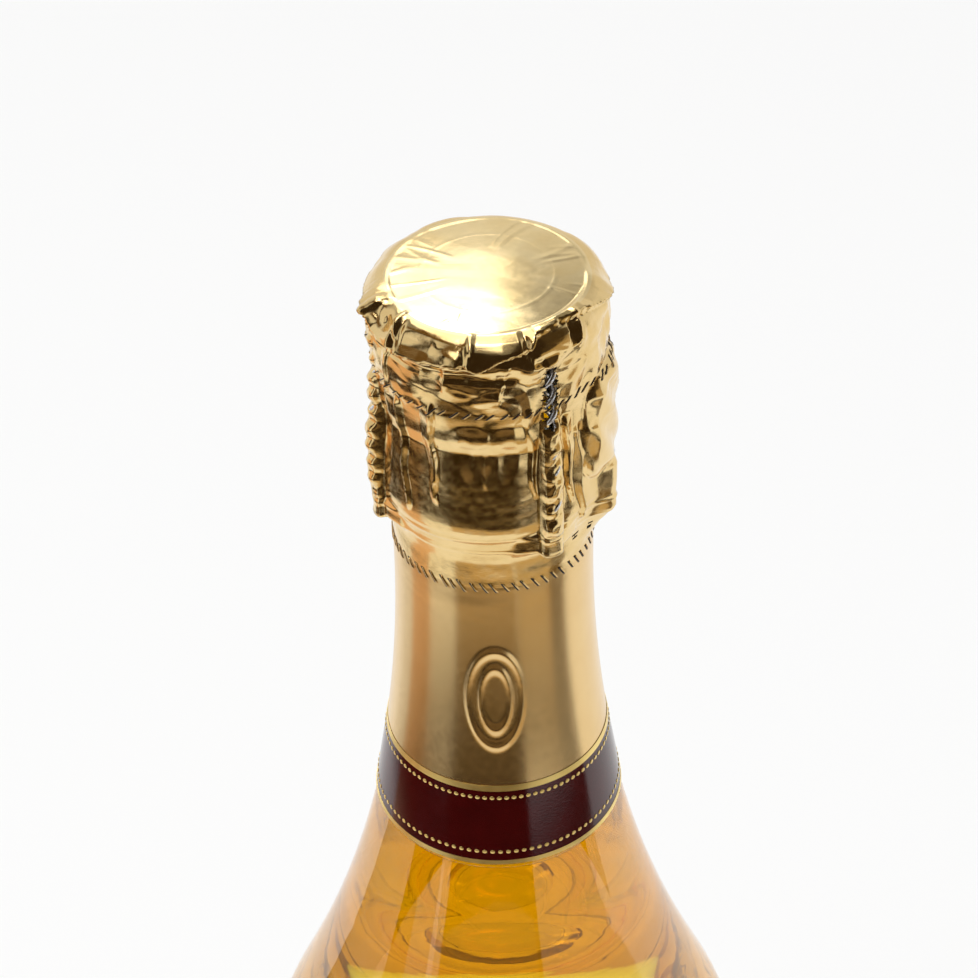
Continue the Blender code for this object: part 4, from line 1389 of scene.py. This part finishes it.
@dataclass
class Cage:
    """The wire cage, its key and the cap plate under it."""

    places: Places
    glass: Glassware
    finishes: Finishes
    wire: float = 0.9 * MM
    strand_gap: float = 0.54 * MM
    fit_gap: float = 0.3 * MM
    head_radius: float = 14.9 * MM
    head_height: float = 15.5 * MM
    plate: float = 0.35 * MM
    plate_raise: float = 0.9 * MM
    plate_rim: float = 1.1 * MM
    groove_depth: float = 0.15 * MM
    top_ring_inset: float = 1.0 * MM
    top_bend: float = 1.2 * MM
    top_drop: float = 2.2 * MM
    belt_drop: float = 2.1 * MM
    legs: tuple = (30.0, 120.0, 205.0, 285.0)
    leg_turns: int = 5
    key_azimuth: float = 75.0
    key_turns: float = 2.5
    key_twist: float = 8.5 * MM
    key_loop_length: float = 12.8 * MM
    key_loop_width: float = 10.0 * MM
    head_top_share: float = 0.96
    head_widest_share: float = 0.55
    key_widest_share: float = 0.77
    belt_bump: float = 26.0
    turn_points: int = 24

    def __post_init__(self) -> None:
        """Works out the places that follow from the sizes."""
        rim, wire, gap = self.places.rim, self.wire, self.fit_gap
        self.ring_radius = self.glass.neck_radius + self.glass.ring_proud
        self.ring_top = rim - self.glass.lip_height - self.glass.groove_height
        self.ring_foot = self.ring_top - self.glass.ring_height
        self.head_base = rim + gap
        self.flange_top = self.head_base + self.head_height + gap + self.plate
        self.strand = (wire + self.strand_gap) / 2
        self.twist_half = self.strand + wire / 2
        self.top_ring_radius = self.head_radius - self.top_ring_inset
        self.top_ring_height = self.flange_top + gap + wire / 2
        self.leg_top = self.top_ring_height - self.top_drop
        self.leg_foot = self.ring_foot + wire / 2
        self.leg_radius = self.ring_radius + gap + self.twist_half
        self.head_leg_radius = self.head_radius + gap + self.twist_half
        self.belt_height = self.ring_foot - self.belt_drop
        self.belt_radius = self.glass.neck_radius + gap + wire / 2
        self.eye_radius = wire + gap
        self.key_foot = self.belt_height + wire

    def leg_out(self, height: float) -> float:
        """How far a leg's middle line stands from the axis."""
        widest = self.head_base + self.head_height * self.head_widest_share
        return float(np.interp(height, (self.ring_top, widest), (self.leg_radius, self.head_leg_radius)))

    def leg_strand(self, azimuth: float, phase: float) -> list[Vector]:
        """One of a leg's two twisted strands, from top to foot. The phase is in half turns.

        Args:
            azimuth: the leg's.
            phase: where the strand starts.

        Returns:
            The wire's middle line.
        """
        points = []
        for share in np.linspace(0, 1, self.leg_turns * self.turn_points + 1):
            height = self.leg_top + (self.leg_foot - self.leg_top) * share
            turn = math.pi * (phase + 2 * self.leg_turns * share)
            out = self.leg_out(height) + self.strand * math.sin(turn)
            points.append(beside(azimuth, self.strand * math.cos(turn), out, height))
        return points

    def top_of_leg(self, azimuth: float, side: int) -> list[Vector]:
        """The bend from the top ring out over the plate's edge, on one side of a leg.

        Args:
            azimuth: the leg's.
            side: -1 or 1, the side of it.

        Returns:
            The wire's middle line.
        """
        edge = self.top_ring_radius + self.top_bend
        centre = (side * (self.strand + self.top_bend), edge)
        plan = arc(centre, (-side * self.top_bend, -self.top_bend), 90, 0, 7)
        flat = [beside(azimuth, along, out, self.top_ring_height) for along, out in plan]
        over = arc((edge, self.leg_top), (self.leg_out(self.leg_top) - edge, self.top_drop), 90, 0, 9)
        return flat + [beside(azimuth, side * self.strand, out, up) for out, up in over[1:-1]]

    def leg_eye(self, azimuth: float) -> list[Vector]:
        """The loop at a leg's foot, round the belt wire and back up to the other strand.

        Args:
            azimuth: the leg's.

        Returns:
            The wire's middle line.
        """
        points = []
        for share in np.linspace(0, 1, 30):
            turn = math.radians(20 - 300 * share)
            out = self.belt_radius + self.eye_radius + self.eye_radius * math.cos(turn)
            height = self.belt_height + self.eye_radius * math.sin(turn)
            points.append(beside(azimuth, self.strand * (2 * share - 1), out, height))
        end = (self.leg_radius - self.wire / 3, self.ring_foot - self.wire / 2)
        return points + [beside(azimuth, self.strand, *end)]

    def frame_points(self) -> list[Vector]:
        """The frame, one closed wire: a quarter of the top ring, then down and up each leg.

        Returns:
            The wire's middle line.
        """
        points = []
        bend = math.degrees((self.strand + self.top_bend) / self.top_ring_radius)
        for azimuth, after in zip(self.legs, self.legs[1:] + (self.legs[0] + FULL_TURN,)):
            points += self.top_of_leg(azimuth, -1) + self.leg_strand(azimuth, 1) + self.leg_eye(azimuth)
            points += self.leg_strand(azimuth, 0)[::-1] + self.top_of_leg(azimuth, 1)[::-1]
            ring = np.linspace(azimuth + bend, after - bend, self.turn_points + 2)[1:-1]
            points += [at(turn, self.top_ring_radius, self.top_ring_height) for turn in ring]
        return points

    def belt_out(self, azimuth: float) -> float:
        """The belt lies on the neck, and stands off it where it passes through a leg's eye.

        Args:
            azimuth: where on the belt.

        Returns:
            The belt's radius there.
        """
        nearest = min(abs(apart(azimuth, leg)) for leg in self.legs)
        bump = math.cos(math.pi / 2 * min(1.0, nearest / self.belt_bump)) ** 2
        return self.belt_radius + self.eye_radius * bump

    def belt_points(self) -> list[Vector]:
        """The belt from one end at the key, round the neck, to the other end beside it.

        Returns:
            The wire's middle line.
        """
        wire, key = self.wire, self.key_azimuth
        end = self.leg_radius - wire / 2 - self.fit_gap
        plan = arc((self.strand + wire, self.belt_radius + wire), (-wire, -wire), 0, 90, 8)
        bend = [(self.strand, end)] + plan
        turn = math.degrees(plan[-1][0] / self.belt_radius)
        first = [beside(key, along, out, self.belt_height) for along, out in bend]
        last = [beside(key, -along, out, self.belt_height) for along, out in bend[::-1]]
        ring = np.linspace(key + turn, key + FULL_TURN - turn, 7 * self.turn_points)[1:-1]
        return first + [at(spot, self.belt_out(spot), self.belt_height) for spot in ring] + last

    def key_strand(self, phase: float) -> list[Vector]:
        """One of the key's two twisted strands, from foot to top. The phase is in half turns.

        Args:
            phase: where the strand starts.

        Returns:
            The wire's middle line.
        """
        side = self.strand * math.cos(math.pi * phase)
        points = [beside(self.key_azimuth, side, self.leg_radius, self.belt_height - self.wire / 2)]
        for share in np.linspace(0, 1, round(self.key_turns * self.turn_points) + 1):
            turn = math.pi * (phase + 2 * self.key_turns * share)
            out = self.leg_radius + self.strand * math.sin(turn)
            height = self.key_foot + self.key_twist * share
            points.append(beside(self.key_azimuth, self.strand * math.cos(turn), out, height))
        return points

    def key_points(self) -> list[Vector]:
        """The key: up one strand, round its loop and down the other.

        Returns:
            The wire's middle line.
        """
        half = self.key_loop_width / 2 / self.key_widest_share
        first = math.sqrt(2 * self.strand / half)
        sign = math.copysign(1, math.cos(math.tau * self.key_turns))
        loop = []
        for turn in np.linspace(first, math.tau - first, 3 * self.turn_points)[1:-1]:
            along = sign * half * math.sin(turn) * math.sin(turn / 2)
            height = self.key_foot + self.key_twist + self.key_loop_length * (1 - math.cos(turn)) / 2
            loop.append(beside(self.key_azimuth, along, self.leg_radius, height))
        return self.key_strand(0) + loop + self.key_strand(1)[::-1]

    def strand_piece(self, name: str, points: list[Vector], closed: bool) -> bpy.types.Object:
        """A round wire along the points, made a mesh.

        Args:
            name: the piece's name.
            points: the wire's middle line.
            closed: whether its ends meet.

        Returns:
            The piece.
        """
        curve = bpy.data.curves.new(name, "CURVE")
        curve.dimensions = "3D"
        curve.bevel_depth = self.wire / 2
        curve.bevel_resolution = 4
        curve.use_fill_caps = not closed
        spline = curve.splines.new("POLY")
        spline.points.add(len(points) - 1)
        for spot, point in zip(spline.points, points):
            spot.co = (*point, 1)
        spline.use_cyclic_u = closed
        drawn = bpy.data.objects.new(name + "_line", curve)
        bpy.context.scene.collection.objects.link(drawn)
        bpy.context.view_layer.update()
        mesh = bpy.data.meshes.new_from_object(drawn)
        bpy.data.objects.remove(drawn)
        bm = bmesh.new()
        bm.from_mesh(mesh)
        bpy.data.meshes.remove(mesh)
        bmesh.ops.remove_doubles(bm, verts=bm.verts, dist=WELD)
        return finish_mesh(name, bm, [self.finishes[Finish.WIRE]], 50)

    def build_plate(self) -> None:
        """Makes the cap plate: a raised middle with a groove, a flange and a turned rim."""
        raised = self.top_ring_radius - self.wire / 2 - self.fit_gap
        rim = self.head_radius * self.head_top_share + self.fit_gap
        top, skin = self.flange_top, self.plate
        face = top + self.plate_raise
        groove = face - self.groove_depth
        upper = [(0, face), (8 * MM, face), (8.3 * MM, groove), (8.9 * MM, groove), (9.2 * MM, face)]
        bend = self.plate_raise / 2
        upper += arc((raised - self.plate_raise, top + bend), (bend, bend), 90, 20, 5)
        upper += [(raised, top), (rim - 0.2 * MM, top)]
        upper += arc((rim, top - skin), (skin, skin), 70, 0, 4) + [(rim + skin, top - self.plate_rim)]
        lower = offset(upper, -skin)
        lower[0] = (0, lower[0][1])
        bm = turned(upper + lower[::-1], 128, closed=False)
        piece = finish_mesh("cap_plate_disc", bm, [self.finishes[Finish.TINPLATE]], 50)
        place(piece, "cage", "gold_tinplate", "cap_plate")

    def build(self) -> None:
        """Makes the wires and the plate."""
        self.build_plate()
        wires = (
            ("cage_frame_strands", self.frame_points(), True, "cage", "cage_frame_wire"),
            ("cage_belt_strand", self.belt_points(), False, "cage", "cage_belt_wire"),
            ("cage_key_strands", self.key_points(), False, "key", "cage_key"),
        )
        for name, points, closed, body, node in wires:
            place(self.strand_piece(name, points, closed), body, "galvanised_wire", node)


@dataclass
class Cork:
    """The mushroom cork: a pressed-granule body over two discs of natural cork."""

    places: Places
    cage: Cage
    glass: Glassware
    finishes: Finishes
    head_round: float = 1.6 * MM
    shank_length: float = 24.5 * MM
    disc: float = 4.5 * MM
    disc_ease: float = 0.4 * MM
    rough: float = 0.07 * MM
    sides: int = 160
    underside_shares: tuple = ((0.93, 0.3), (0.78, 0.08), (0.66, 0.0))

    def granular(self, bm: bmesh.types.BMesh, depth: float) -> None:
        """Roughens a turned cork with shallow chance pits.

        Args:
            bm: the turned cork.
            depth: of the deepest pit.
        """
        bm.normal_update()
        rng = np.random.default_rng(4)
        dips = rng.uniform(-depth, 0, len(bm.verts))
        for vert, dip in zip(bm.verts, dips):
            vert.co += vert.normal * float(dip)

    def build(self) -> None:
        """Makes the body and the discs."""
        cage, base = self.cage, self.cage.head_base
        top = base + cage.head_height
        edge = cage.head_radius * cage.head_top_share
        shank = self.glass.mouth_bore - cage.fit_gap
        foot = self.places.rim - self.shank_length
        body_foot = foot + 2 * (self.disc + cage.fit_gap)
        outline = [(0, top), (edge - self.head_round - 3 * MM, top)]
        outline += arc((edge - self.head_round, top - self.head_round), (self.head_round,) * 2, 90, 0, 6)
        outline += [(cage.head_radius, base + cage.head_height * cage.head_widest_share)]
        for out, up in self.underside_shares:
            outline.append((cage.head_radius * out, base + cage.head_height * up))
        outline += [(shank, base), (shank, body_foot), (0, body_foot)]
        bm = turned(resampled(outline, 110), self.sides, closed=False)
        self.granular(bm, self.rough)
        piece = finish_mesh("cork_granules", bm, [self.finishes[Finish.CORK]], 60)
        place(piece, "cork", "agglomerated_cork", "cork_body")
        for name, node, low in (
            ("cork_lower_slice", "cork_disc_lower", foot),
            ("cork_upper_slice", "cork_disc_upper", foot + self.disc + cage.fit_gap),
        ):
            high = low + self.disc
            outline = [(0, high), (shank - self.disc_ease, high), (shank, high - self.disc_ease / 2)]
            outline += [(shank, low + self.disc_ease), (shank - self.disc_ease, low), (0, low)]
            bm = turned(resampled(outline, 40), self.sides, closed=False)
            self.granular(bm, self.rough / 2)
            place(finish_mesh(name, bm, [self.finishes[Finish.DISC]], 60), "cork", "natural_cork", node)


@dataclass
class Band:
    """The collar: a paper cone with gold edges and two rows of gold dots."""

    places: Places
    glass: Glassware
    finishes: Finishes
    ease: float = 0.32 * MM
    paper: float = 0.14 * MM
    edge_heights: tuple[float, float] = (0.8 * MM, 1.1 * MM)
    edge_rise: float = 0.05 * MM
    dot_radius: float = 0.4 * MM
    dot_drop: float = 2.4 * MM
    dots: int = 98
    sides: int = 240

    def radius(self, height: float) -> float:
        """The paper's outer radius at a height on the cone.

        Args:
            height: on the cone.

        Returns:
            The radius.
        """
        top, foot = self.places.collar_top, self.places.collar_foot
        at_foot = self.glass.neck_glass(foot) + self.ease
        at_top = self.glass.neck_glass(top) + self.ease + self.paper
        return float(np.interp(height, (foot, top), (at_foot, at_top))) + self.paper

    def ring(self, low: float, high: float, inner: float, outer: float) -> bmesh.types.BMesh:
        """A thin ring on the cone, between two heights and two distances out of the paper's face.

        Args:
            low: its lower height.
            high: its upper height.
            inner: its inner distance.
            outer: its outer distance.

        Returns:
            The bmesh.
        """
        corners = [(self.radius(low) + inner, low), (self.radius(low) + outer, low)]
        corners += [(self.radius(high) + outer, high), (self.radius(high) + inner, high)]
        return turned(corners, self.sides, closed=True)

    def build(self) -> None:
        """Makes the paper, its gold edges and its dots."""
        top, foot = self.places.collar_top, self.places.collar_foot
        paper = self.ring(foot, top, -self.paper, 0)
        piece = finish_mesh("collar_band", paper, [self.finishes[Finish.BAND]], 30)
        place(piece, "bottle", "collar_paper", "collar_label")
        lower, upper = self.edge_heights
        edges = ((foot, foot + lower, "collar_lower_edge"), (top - upper, top, "collar_upper_edge"))
        for low, high, name in edges:
            bm = self.ring(low, high, 0.01 * MM, self.edge_rise)
            place(finish_mesh(name, bm, [self.finishes[Finish.PRINT_GOLD]], 30), "bottle", "collar_paper")
        self.dot_row("collar_upper_dots", top - self.dot_drop)
        self.dot_row("collar_lower_dots", foot + self.dot_drop)

    def dot_row(self, name: str, height: float) -> None:
        """Makes one row of raised gold dots.

        Args:
            name: the piece's name.
            height: the row's.
        """
        bm = bmesh.new()
        for step in range(self.dots):
            azimuth = step * FULL_TURN / self.dots
            spot = at(azimuth, self.radius(height), height)
            made = bmesh.ops.create_icosphere(bm, subdivisions=2, radius=self.dot_radius)
            flat = Matrix.Diagonal((1, 0.25, 1, 1))
            turn = Matrix.Rotation(math.radians(azimuth), 4, "Z")
            bmesh.ops.transform(bm, matrix=Matrix.Translation(spot) @ turn @ flat, verts=made["verts"])
        place(finish_mesh(name, bm, [self.finishes[Finish.PRINT_GOLD]], 80), "bottle", "collar_paper")


@dataclass
class Label:
    """A paper label on the body: a cream panel with a dark band, gold rules and a dot ornament."""

    name: str
    node: str
    azimuth: float
    span: float
    places: Places
    finishes: Finishes
    banded: bool
    paper: float = 0.14 * MM
    ink: float = 0.04 * MM
    margin: float = 2.5 * MM
    rule: float = 0.7 * MM
    band_half: float = 8.0 * MM
    band_edge: float = 0.8 * MM
    grape: float = 1.15 * MM

    def panel(
        self, low: float, high: float, half: float, inner: float, outer: float
    ) -> bmesh.types.BMesh:
        """A curved panel between two heights, half a width to each side, between two radii.

        Args:
            low: its lower height.
            high: its upper height.
            half: half its width.
            inner: its inner distance from the glass.
            outer: its outer distance.

        Returns:
            The bmesh.
        """
        body = self.places.body_radius
        half_span = math.degrees(half / body)
        corners = [(body + inner, low), (body + outer, low), (body + outer, high), (body + inner, high)]
        return band_of(corners, self.azimuth - half_span, 2 * half_span, max(6, round(half_span * 1.4)))

    def build(self) -> None:
        """Makes the paper and what is printed on it."""
        low, high = (corner.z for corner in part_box(self.node))
        half = math.radians(self.span / 2) * self.places.body_radius
        paper, ink = self.paper, self.ink
        sheet = self.panel(low, high, half, 0.02 * MM, paper)
        piece = finish_mesh(self.name, sheet, [self.finishes[Finish.PAPER]], 30)
        place(piece, "bottle", "label_paper", self.node)
        gold = []
        for inset, rule in ((self.margin, self.rule), (self.margin + 1.6 * MM, self.rule / 2)):
            gold += self.frame_of(low + inset, high - inset, half - inset, rule)
        if self.banded:
            middle = low + (high - low) * 0.42
            reach = half - self.margin - 3 * MM
            deep = self.band_half
            dark = self.panel(middle - deep, middle + deep, reach, paper, paper + ink)
            piece = finish_mesh(self.name + "_band", dark, [self.finishes[Finish.BAND]], 30)
            place(piece, "bottle", "label_paper")
            edge = self.band_edge
            gold += self.frame_of(middle - deep - edge, middle + deep + edge, reach + edge, edge)
            self.dots(middle, reach)
            self.grapes(low + (high - low) * 0.76)
        else:
            for step in range(7):
                up = low + (high - low) * (0.3 + 0.07 * step)
                reach = half * (0.62 if step % 3 else 0.5)
                gold.append(self.panel(up, up + self.rule / 2, reach, paper, paper + ink))
            self.grapes(low + (high - low) * 0.16, 0.6)
        self.join(self.name + "_rules", gold)

    def frame_of(self, low: float, high: float, half: float, rule: float) -> list[bmesh.types.BMesh]:
        """The four rules of a frame: two across and two upright.

        Args:
            low: the frame's lower height.
            high: its upper height.
            half: half its width.
            rule: the rules' width.

        Returns:
            Four bmeshes.
        """
        body = self.places.body_radius
        inner, outer = self.paper, self.paper + self.ink
        frame_parts = [
            self.panel(low, low + rule, half, inner, outer),
            self.panel(high - rule, high, half, inner, outer),
        ]
        corners = [(body + inner, low + rule), (body + outer, low + rule)]
        corners += [(body + outer, high - rule), (body + inner, high - rule)]
        width = math.degrees(rule / body)
        edge = math.degrees(half / body)
        for start in (self.azimuth - edge, self.azimuth + edge - width):
            frame_parts.append(band_of(corners, start, width, 1))
        return frame_parts

    def join(self, name: str, parts: list[bmesh.types.BMesh]) -> None:
        """Puts printed parts into one gold piece.

        Args:
            name: the piece's name.
            parts: bmeshes, which are freed.
        """
        bm = bmesh.new()
        carrier = bpy.data.meshes.new(name)
        for part in parts:
            part.to_mesh(carrier)
            part.free()
            bm.from_mesh(carrier)
        bpy.data.meshes.remove(carrier)
        self.print_gold(name, bm, 30)

    def print_gold(self, name: str, bm: bmesh.types.BMesh, sharp: float) -> None:
        """Makes a gold piece of what is printed on the label."""
        place(finish_mesh(name, bm, [self.finishes[Finish.PRINT_GOLD]], sharp), "bottle", "label_paper")

    def dots(self, middle: float, reach: float) -> None:
        """Two rows of gold dots inside the dark band.

        Args:
            middle: the band's middle height.
            reach: half the rows' length.
        """
        bm = bmesh.new()
        count = round(2 * reach / (1.5 * MM))
        for height in (middle - 6.6 * MM, middle + 6.6 * MM):
            for step in range(1, count):
                side = -reach + 2 * reach * step / count
                self.drop(bm, side, height, 0.38 * MM)
        self.print_gold(self.name + "_dots", bm, 80)

    def drop(self, bm: bmesh.types.BMesh, side: float, height: float, radius: float) -> None:
        """One flattened round of gold on the label.

        Args:
            bm: the bmesh that it is added to.
            side: how far right of the label's middle.
            height: of its middle.
            radius: of the round.
        """
        face = self.places.body_radius + self.paper
        azimuth = self.azimuth + math.degrees(side / face)
        made = bmesh.ops.create_icosphere(bm, subdivisions=2, radius=radius)
        turn = Matrix.Rotation(math.radians(azimuth), 4, "Z")
        move = Matrix.Translation(at(azimuth, face, height)) @ turn @ Matrix.Diagonal((1, 0.22, 1, 1))
        bmesh.ops.transform(bm, matrix=move, verts=made["verts"])

    def grapes(self, top: float, scale: float = 1.0) -> None:
        """A plain bunch of grapes in gold.

        Args:
            top: the height of the first row.
            scale: a share of the usual size.
        """
        bm = bmesh.new()
        radius = self.grape * scale
        for row, count in enumerate((4, 5, 4, 3, 2, 1)):
            for step in range(count):
                self.drop(bm, (step - (count - 1) / 2) * radius * 2.05, top - row * radius * 1.8, radius)
        self.print_gold(self.name + "_grapes", bm, 80)


@dataclass
class Studio:
    """The pale floor, the lamps, the reflecting cards and the camera."""

    camera_place: tuple = (-0.0005, -0.3502, 0.5642)
    pitch: float = 39.2
    roll: float = -1.32
    focal_pixels: float = 3000.0
    frame_pixels: float = 978.0
    sensor: float = 36.0
    floor_white: float = 0.94
    floor_glow: float = 0.78
    world_white: float = 1.0
    world_light: float = 0.62
    ceiling: float = 0.32
    ceiling_from: tuple[float, float] = (0.45, 0.7)
    wall_radius: float = 0.75
    card_far: float = 2.5
    bounces: int = 32

    def camera(self) -> None:
        """Sets the camera at the picture's place and angle."""
        data = bpy.data.cameras.new("camera")
        data.sensor_width = self.sensor
        data.lens = self.focal_pixels / self.frame_pixels * self.sensor
        data.clip_start = 0.01
        eye = bpy.data.objects.new("camera", data)
        bpy.context.scene.collection.objects.link(eye)
        pitch, roll = math.radians(self.pitch), math.radians(self.roll)
        forward = Vector((0, math.cos(pitch), -math.sin(pitch)))
        up = Vector((0, math.sin(pitch), math.cos(pitch)))
        right = Vector((1, 0, 0))
        level = right * math.cos(roll) + up * math.sin(roll)
        upright = up * math.cos(roll) - right * math.sin(roll)
        turn = Matrix((level, upright, -forward)).transposed().to_4x4()
        eye.matrix_world = Matrix.Translation(self.camera_place) @ turn
        bpy.context.scene.camera = eye

    def seen(self, graph: Graph) -> bpy.types.NodeSocket:
        """1 for camera, mirror and glass rays, 0 for the rest.

        Args:
            graph: the floor's nodes.

        Returns:
            The share's socket.
        """
        path = graph.add("LightPath").outputs
        either = graph.maths("MAXIMUM", path["Is Camera Ray"], path["Is Glossy Ray"])
        return graph.maths("MAXIMUM", either, path["Is Transmission Ray"])

    def floor(self) -> None:
        """A wide pale floor that glows for the eye, and so keeps only a soft part of the shadow."""
        graph = Graph(bpy.data.materials.new("pale_floor"))
        plain = graph.add("BsdfDiffuse", {"Color": (0.86, 0.86, 0.855, 1)}).outputs[0]
        bright = graph.add("Emission", {"Color": (1, 1, 0.997, 1), "Strength": self.floor_white}).outputs[0]
        share = graph.maths("MULTIPLY", self.seen(graph), self.floor_glow)
        mixed = graph.add("MixShader", {0: share, 1: plain, 2: bright})
        graph.add("OutputMaterial", {"Surface": mixed.outputs[0]})
        bm = bmesh.new()
        bmesh.ops.create_circle(bm, cap_ends=True, segments=96, radius=6)
        finish_mesh("floor", bm, [graph.owner])

    def world(self) -> None:
        """A plain white surround that mirrors see dimmer overhead, like a studio's ceiling."""
        graph = Graph(bpy.data.worlds.new("surround"))
        bpy.context.scene.world = graph.owner
        height = graph.add("SeparateXYZ", {0: graph.add("TexCoord").outputs["Generated"]}).outputs["Z"]
        ceiling = graph.add("MapRange", {
            "Value": height, "From Min": self.ceiling_from[0], "From Max": self.ceiling_from[1],
            "To Min": self.world_white, "To Max": self.ceiling,
        }).outputs[0]
        path = graph.add("LightPath").outputs
        straight = graph.maths("MAXIMUM", path["Is Camera Ray"], path["Is Transmission Ray"])
        soft = self.mixed(graph, path["Is Glossy Ray"], self.world_light, ceiling)
        level = graph.maths("MAXIMUM", soft, straight)
        back = graph.add("Background", {"Strength": level})
        graph.add("OutputWorld", {"Surface": back.outputs[0]})

    def mixed(
        self, graph: Graph, share: bpy.types.NodeSocket, plain: float, other: bpy.types.NodeSocket
    ) -> bpy.types.NodeSocket:
        """One number where the share is 0, the other where it is 1."""
        return graph.add("Mix", {0: share, 2: plain, 3: other}, data_type="FLOAT").outputs[0]

    def lamp(
        self, name: str, spot: Vector, aim: Vector, size: tuple, power: float, mirrored: bool = True
    ) -> None:
        """A soft rectangular lamp, which mirrors see unless told otherwise.

        Args:
            name: the lamp's name.
            spot: its place.
            aim: the point that it faces.
            size: its width and length.
            power: in watts.
            mirrored: whether it shows in metal.
        """
        data = bpy.data.lights.new(name, "AREA")
        data.shape = "RECTANGLE"
        data.size, data.size_y = size
        data.energy = power
        lamp = bpy.data.objects.new(name, data)
        bpy.context.scene.collection.objects.link(lamp)
        lamp.visible_glossy = mirrored
        lamp.location = spot
        lamp.rotation_euler = (aim - spot).to_track_quat("-Z", "Y").to_euler()

    def card(
        self, name: str, start: float, end: float, ends: Outline, colour: Colour,
        through: bool, mirrored: bool = True,
    ) -> None:
        """A card round part of the bottle that the camera doesn't see itself.

        Args:
            name: the card's name.
            start: the azimuth of its left side.
            end: the azimuth of its right side.
            ends: the (radius, height) of its two edges.
            colour: what it sends out.
            through: whether it shows through glass.
            mirrored: whether it shows in metal.
        """
        graph = Graph(bpy.data.materials.new(name))
        glow = graph.add("Emission", {"Color": (*colour, 1), "Strength": 1.0})
        graph.add("OutputMaterial", {"Surface": glow.outputs[0]})
        bm = bmesh.new()
        edge = bm.edges.new([bm.verts.new(at(start, radius, height)) for radius, height in ends])
        steps = max(2, round((end - start) / 4))
        span = math.radians(end - start)
        bmesh.ops.spin(bm, geom=[edge], axis=(0, 0, 1), cent=(0, 0, 0), angle=span, steps=steps)
        card = finish_mesh(name, bm, [graph.owner])
        card.visible_camera = False
        card.visible_diffuse = False
        card.visible_volume_scatter = False
        card.visible_shadow = False
        card.visible_transmission = through
        card.visible_glossy = mirrored

    def cards(self) -> None:
        """Sets the cards: on the floor in front, and standing round the camera."""
        dark, dim, warm = (0.03, 0.018, 0.007), (0.46, 0.35, 0.19), (0.85, 0.56, 0.36)
        low, far_edge = 0.5 * MM, self.card_far
        on_floor = (
            ("orange_card", -108, -80, 0.2, 0.34, warm, False),
            ("far_orange_card", -110, -66, 0.48, 2.2, warm, False),
            ("left_dark_card", -125, -47, 0.34, 0.48, dark, False),
            ("dark_card", -47, 26, 0.325, 0.58, dark, True),
            ("near_card", -45, 24, 0.25, 0.325, (0.62, 0.46, 0.25), True),
            ("dim_card", 26, 66, 0.2, 0.335, (0.6, 0.46, 0.26), True),
            ("far_card", -47, 26, 0.58, far_edge, (0.22, 0.155, 0.09), True),
            ("right_dark_card", 26, 88, 0.345, 0.43, dark, True),
            ("stripe_card", 66, 86, 0.2, 0.335, (0.16, 0.105, 0.045), False),
        )
        for name, start, end, near, far, colour, through in on_floor:
            self.card(name, start, end, [(near, low), (far, low)], colour, through)
        behind_glass = (("right_glass_card", 26, 100, 0.43), ("left_glass_card", -88, -56, 0.2))
        for name, start, end, near in behind_glass:
            self.card(name, start, end, [(near, low), (far_edge, low)], dark, True, mirrored=False)
        walls = (
            ("dark_screen", -40, 50, 0.04, 1.0, dark),
            ("left_screen", -76, -62, 0.04, 0.9, dark),
            ("dim_screen", 50, 88, 0.04, 0.34, dim),
            ("right_screen", 50, 96, 0.34, 1.0, (0.06, 0.04, 0.018)),
            ("high_screen", 20, 108, 1.0, 3.4, dark),
            ("left_high_screen", -106, -22, 0.9, 2.8, (0.14, 0.08, 0.028)),
        )
        for name, start, end, foot, top, colour in walls:
            edges = [(self.wall_radius, foot), (self.wall_radius, top)]
            self.card(name, start, end, edges, colour, True)

    def light_paths(self) -> None:
        """Lets light cross glass and wine often enough to come out of a full bottle."""
        paths = bpy.context.scene.cycles
        paths.max_bounces = self.bounces
        paths.transmission_bounces = self.bounces
        paths.glossy_bounces = self.bounces // 2

    def build(self) -> None:
        """Sets the whole stage."""
        self.camera()
        self.light_paths()
        self.floor()
        self.world()
        middle, crown = Vector((0, 0, 0.25)), Vector((0, 0, 0.318))
        self.lamp("long_softbox", Vector((-0.27, 0.55, 1.4)), Vector((-0.27, 0.55, 0)), (0.64, 2.5), 8.2)
        self.lamp("glare_softbox", Vector((-0.12, 0.93, 1.32)), crown, (0.3, 0.22), 0.9)
        self.lamp("front_glare_softbox", Vector((-0.1, -0.12, 1.33)), crown, (0.28, 0.4), 1.3)
        self.lamp("glint_softbox", Vector((-0.3, -0.46, 1.0)), Vector((0, 0, 0.3)), (0.06, 0.06), 0.16)
        self.lamp("left_softbox", Vector((-1.1, -0.5, 1.1)), middle, (0.9, 0.9), 12, False)
        self.lamp("right_softbox", Vector((1.2, -0.2, 1.0)), middle, (0.8, 0.8), 8, False)
        self.cards()
        bpy.context.scene.view_settings.view_transform = "Standard"


def main() -> None:
    """Builds the stage and every piece."""
    logging.basicConfig(level=logging.INFO, format="%(message)s")
    places = Places.from_frame()
    finishes = Finishes()
    Studio().build()
    glass = Glassware(places, finishes)
    glass.build()
    cage = Cage(places, glass, finishes)
    cage.build()
    Cork(places, cage, glass, finishes).build()
    Foil(places, glass, finishes).build()
    Band(places, glass, finishes).build()
    Label("front_label_sheet", "front_label", 0, 120, places, finishes, True).build()
    Label("back_label_sheet", "back_label", 180, 75, places, finishes, False).build()


if __name__ == "__main__":
    main()
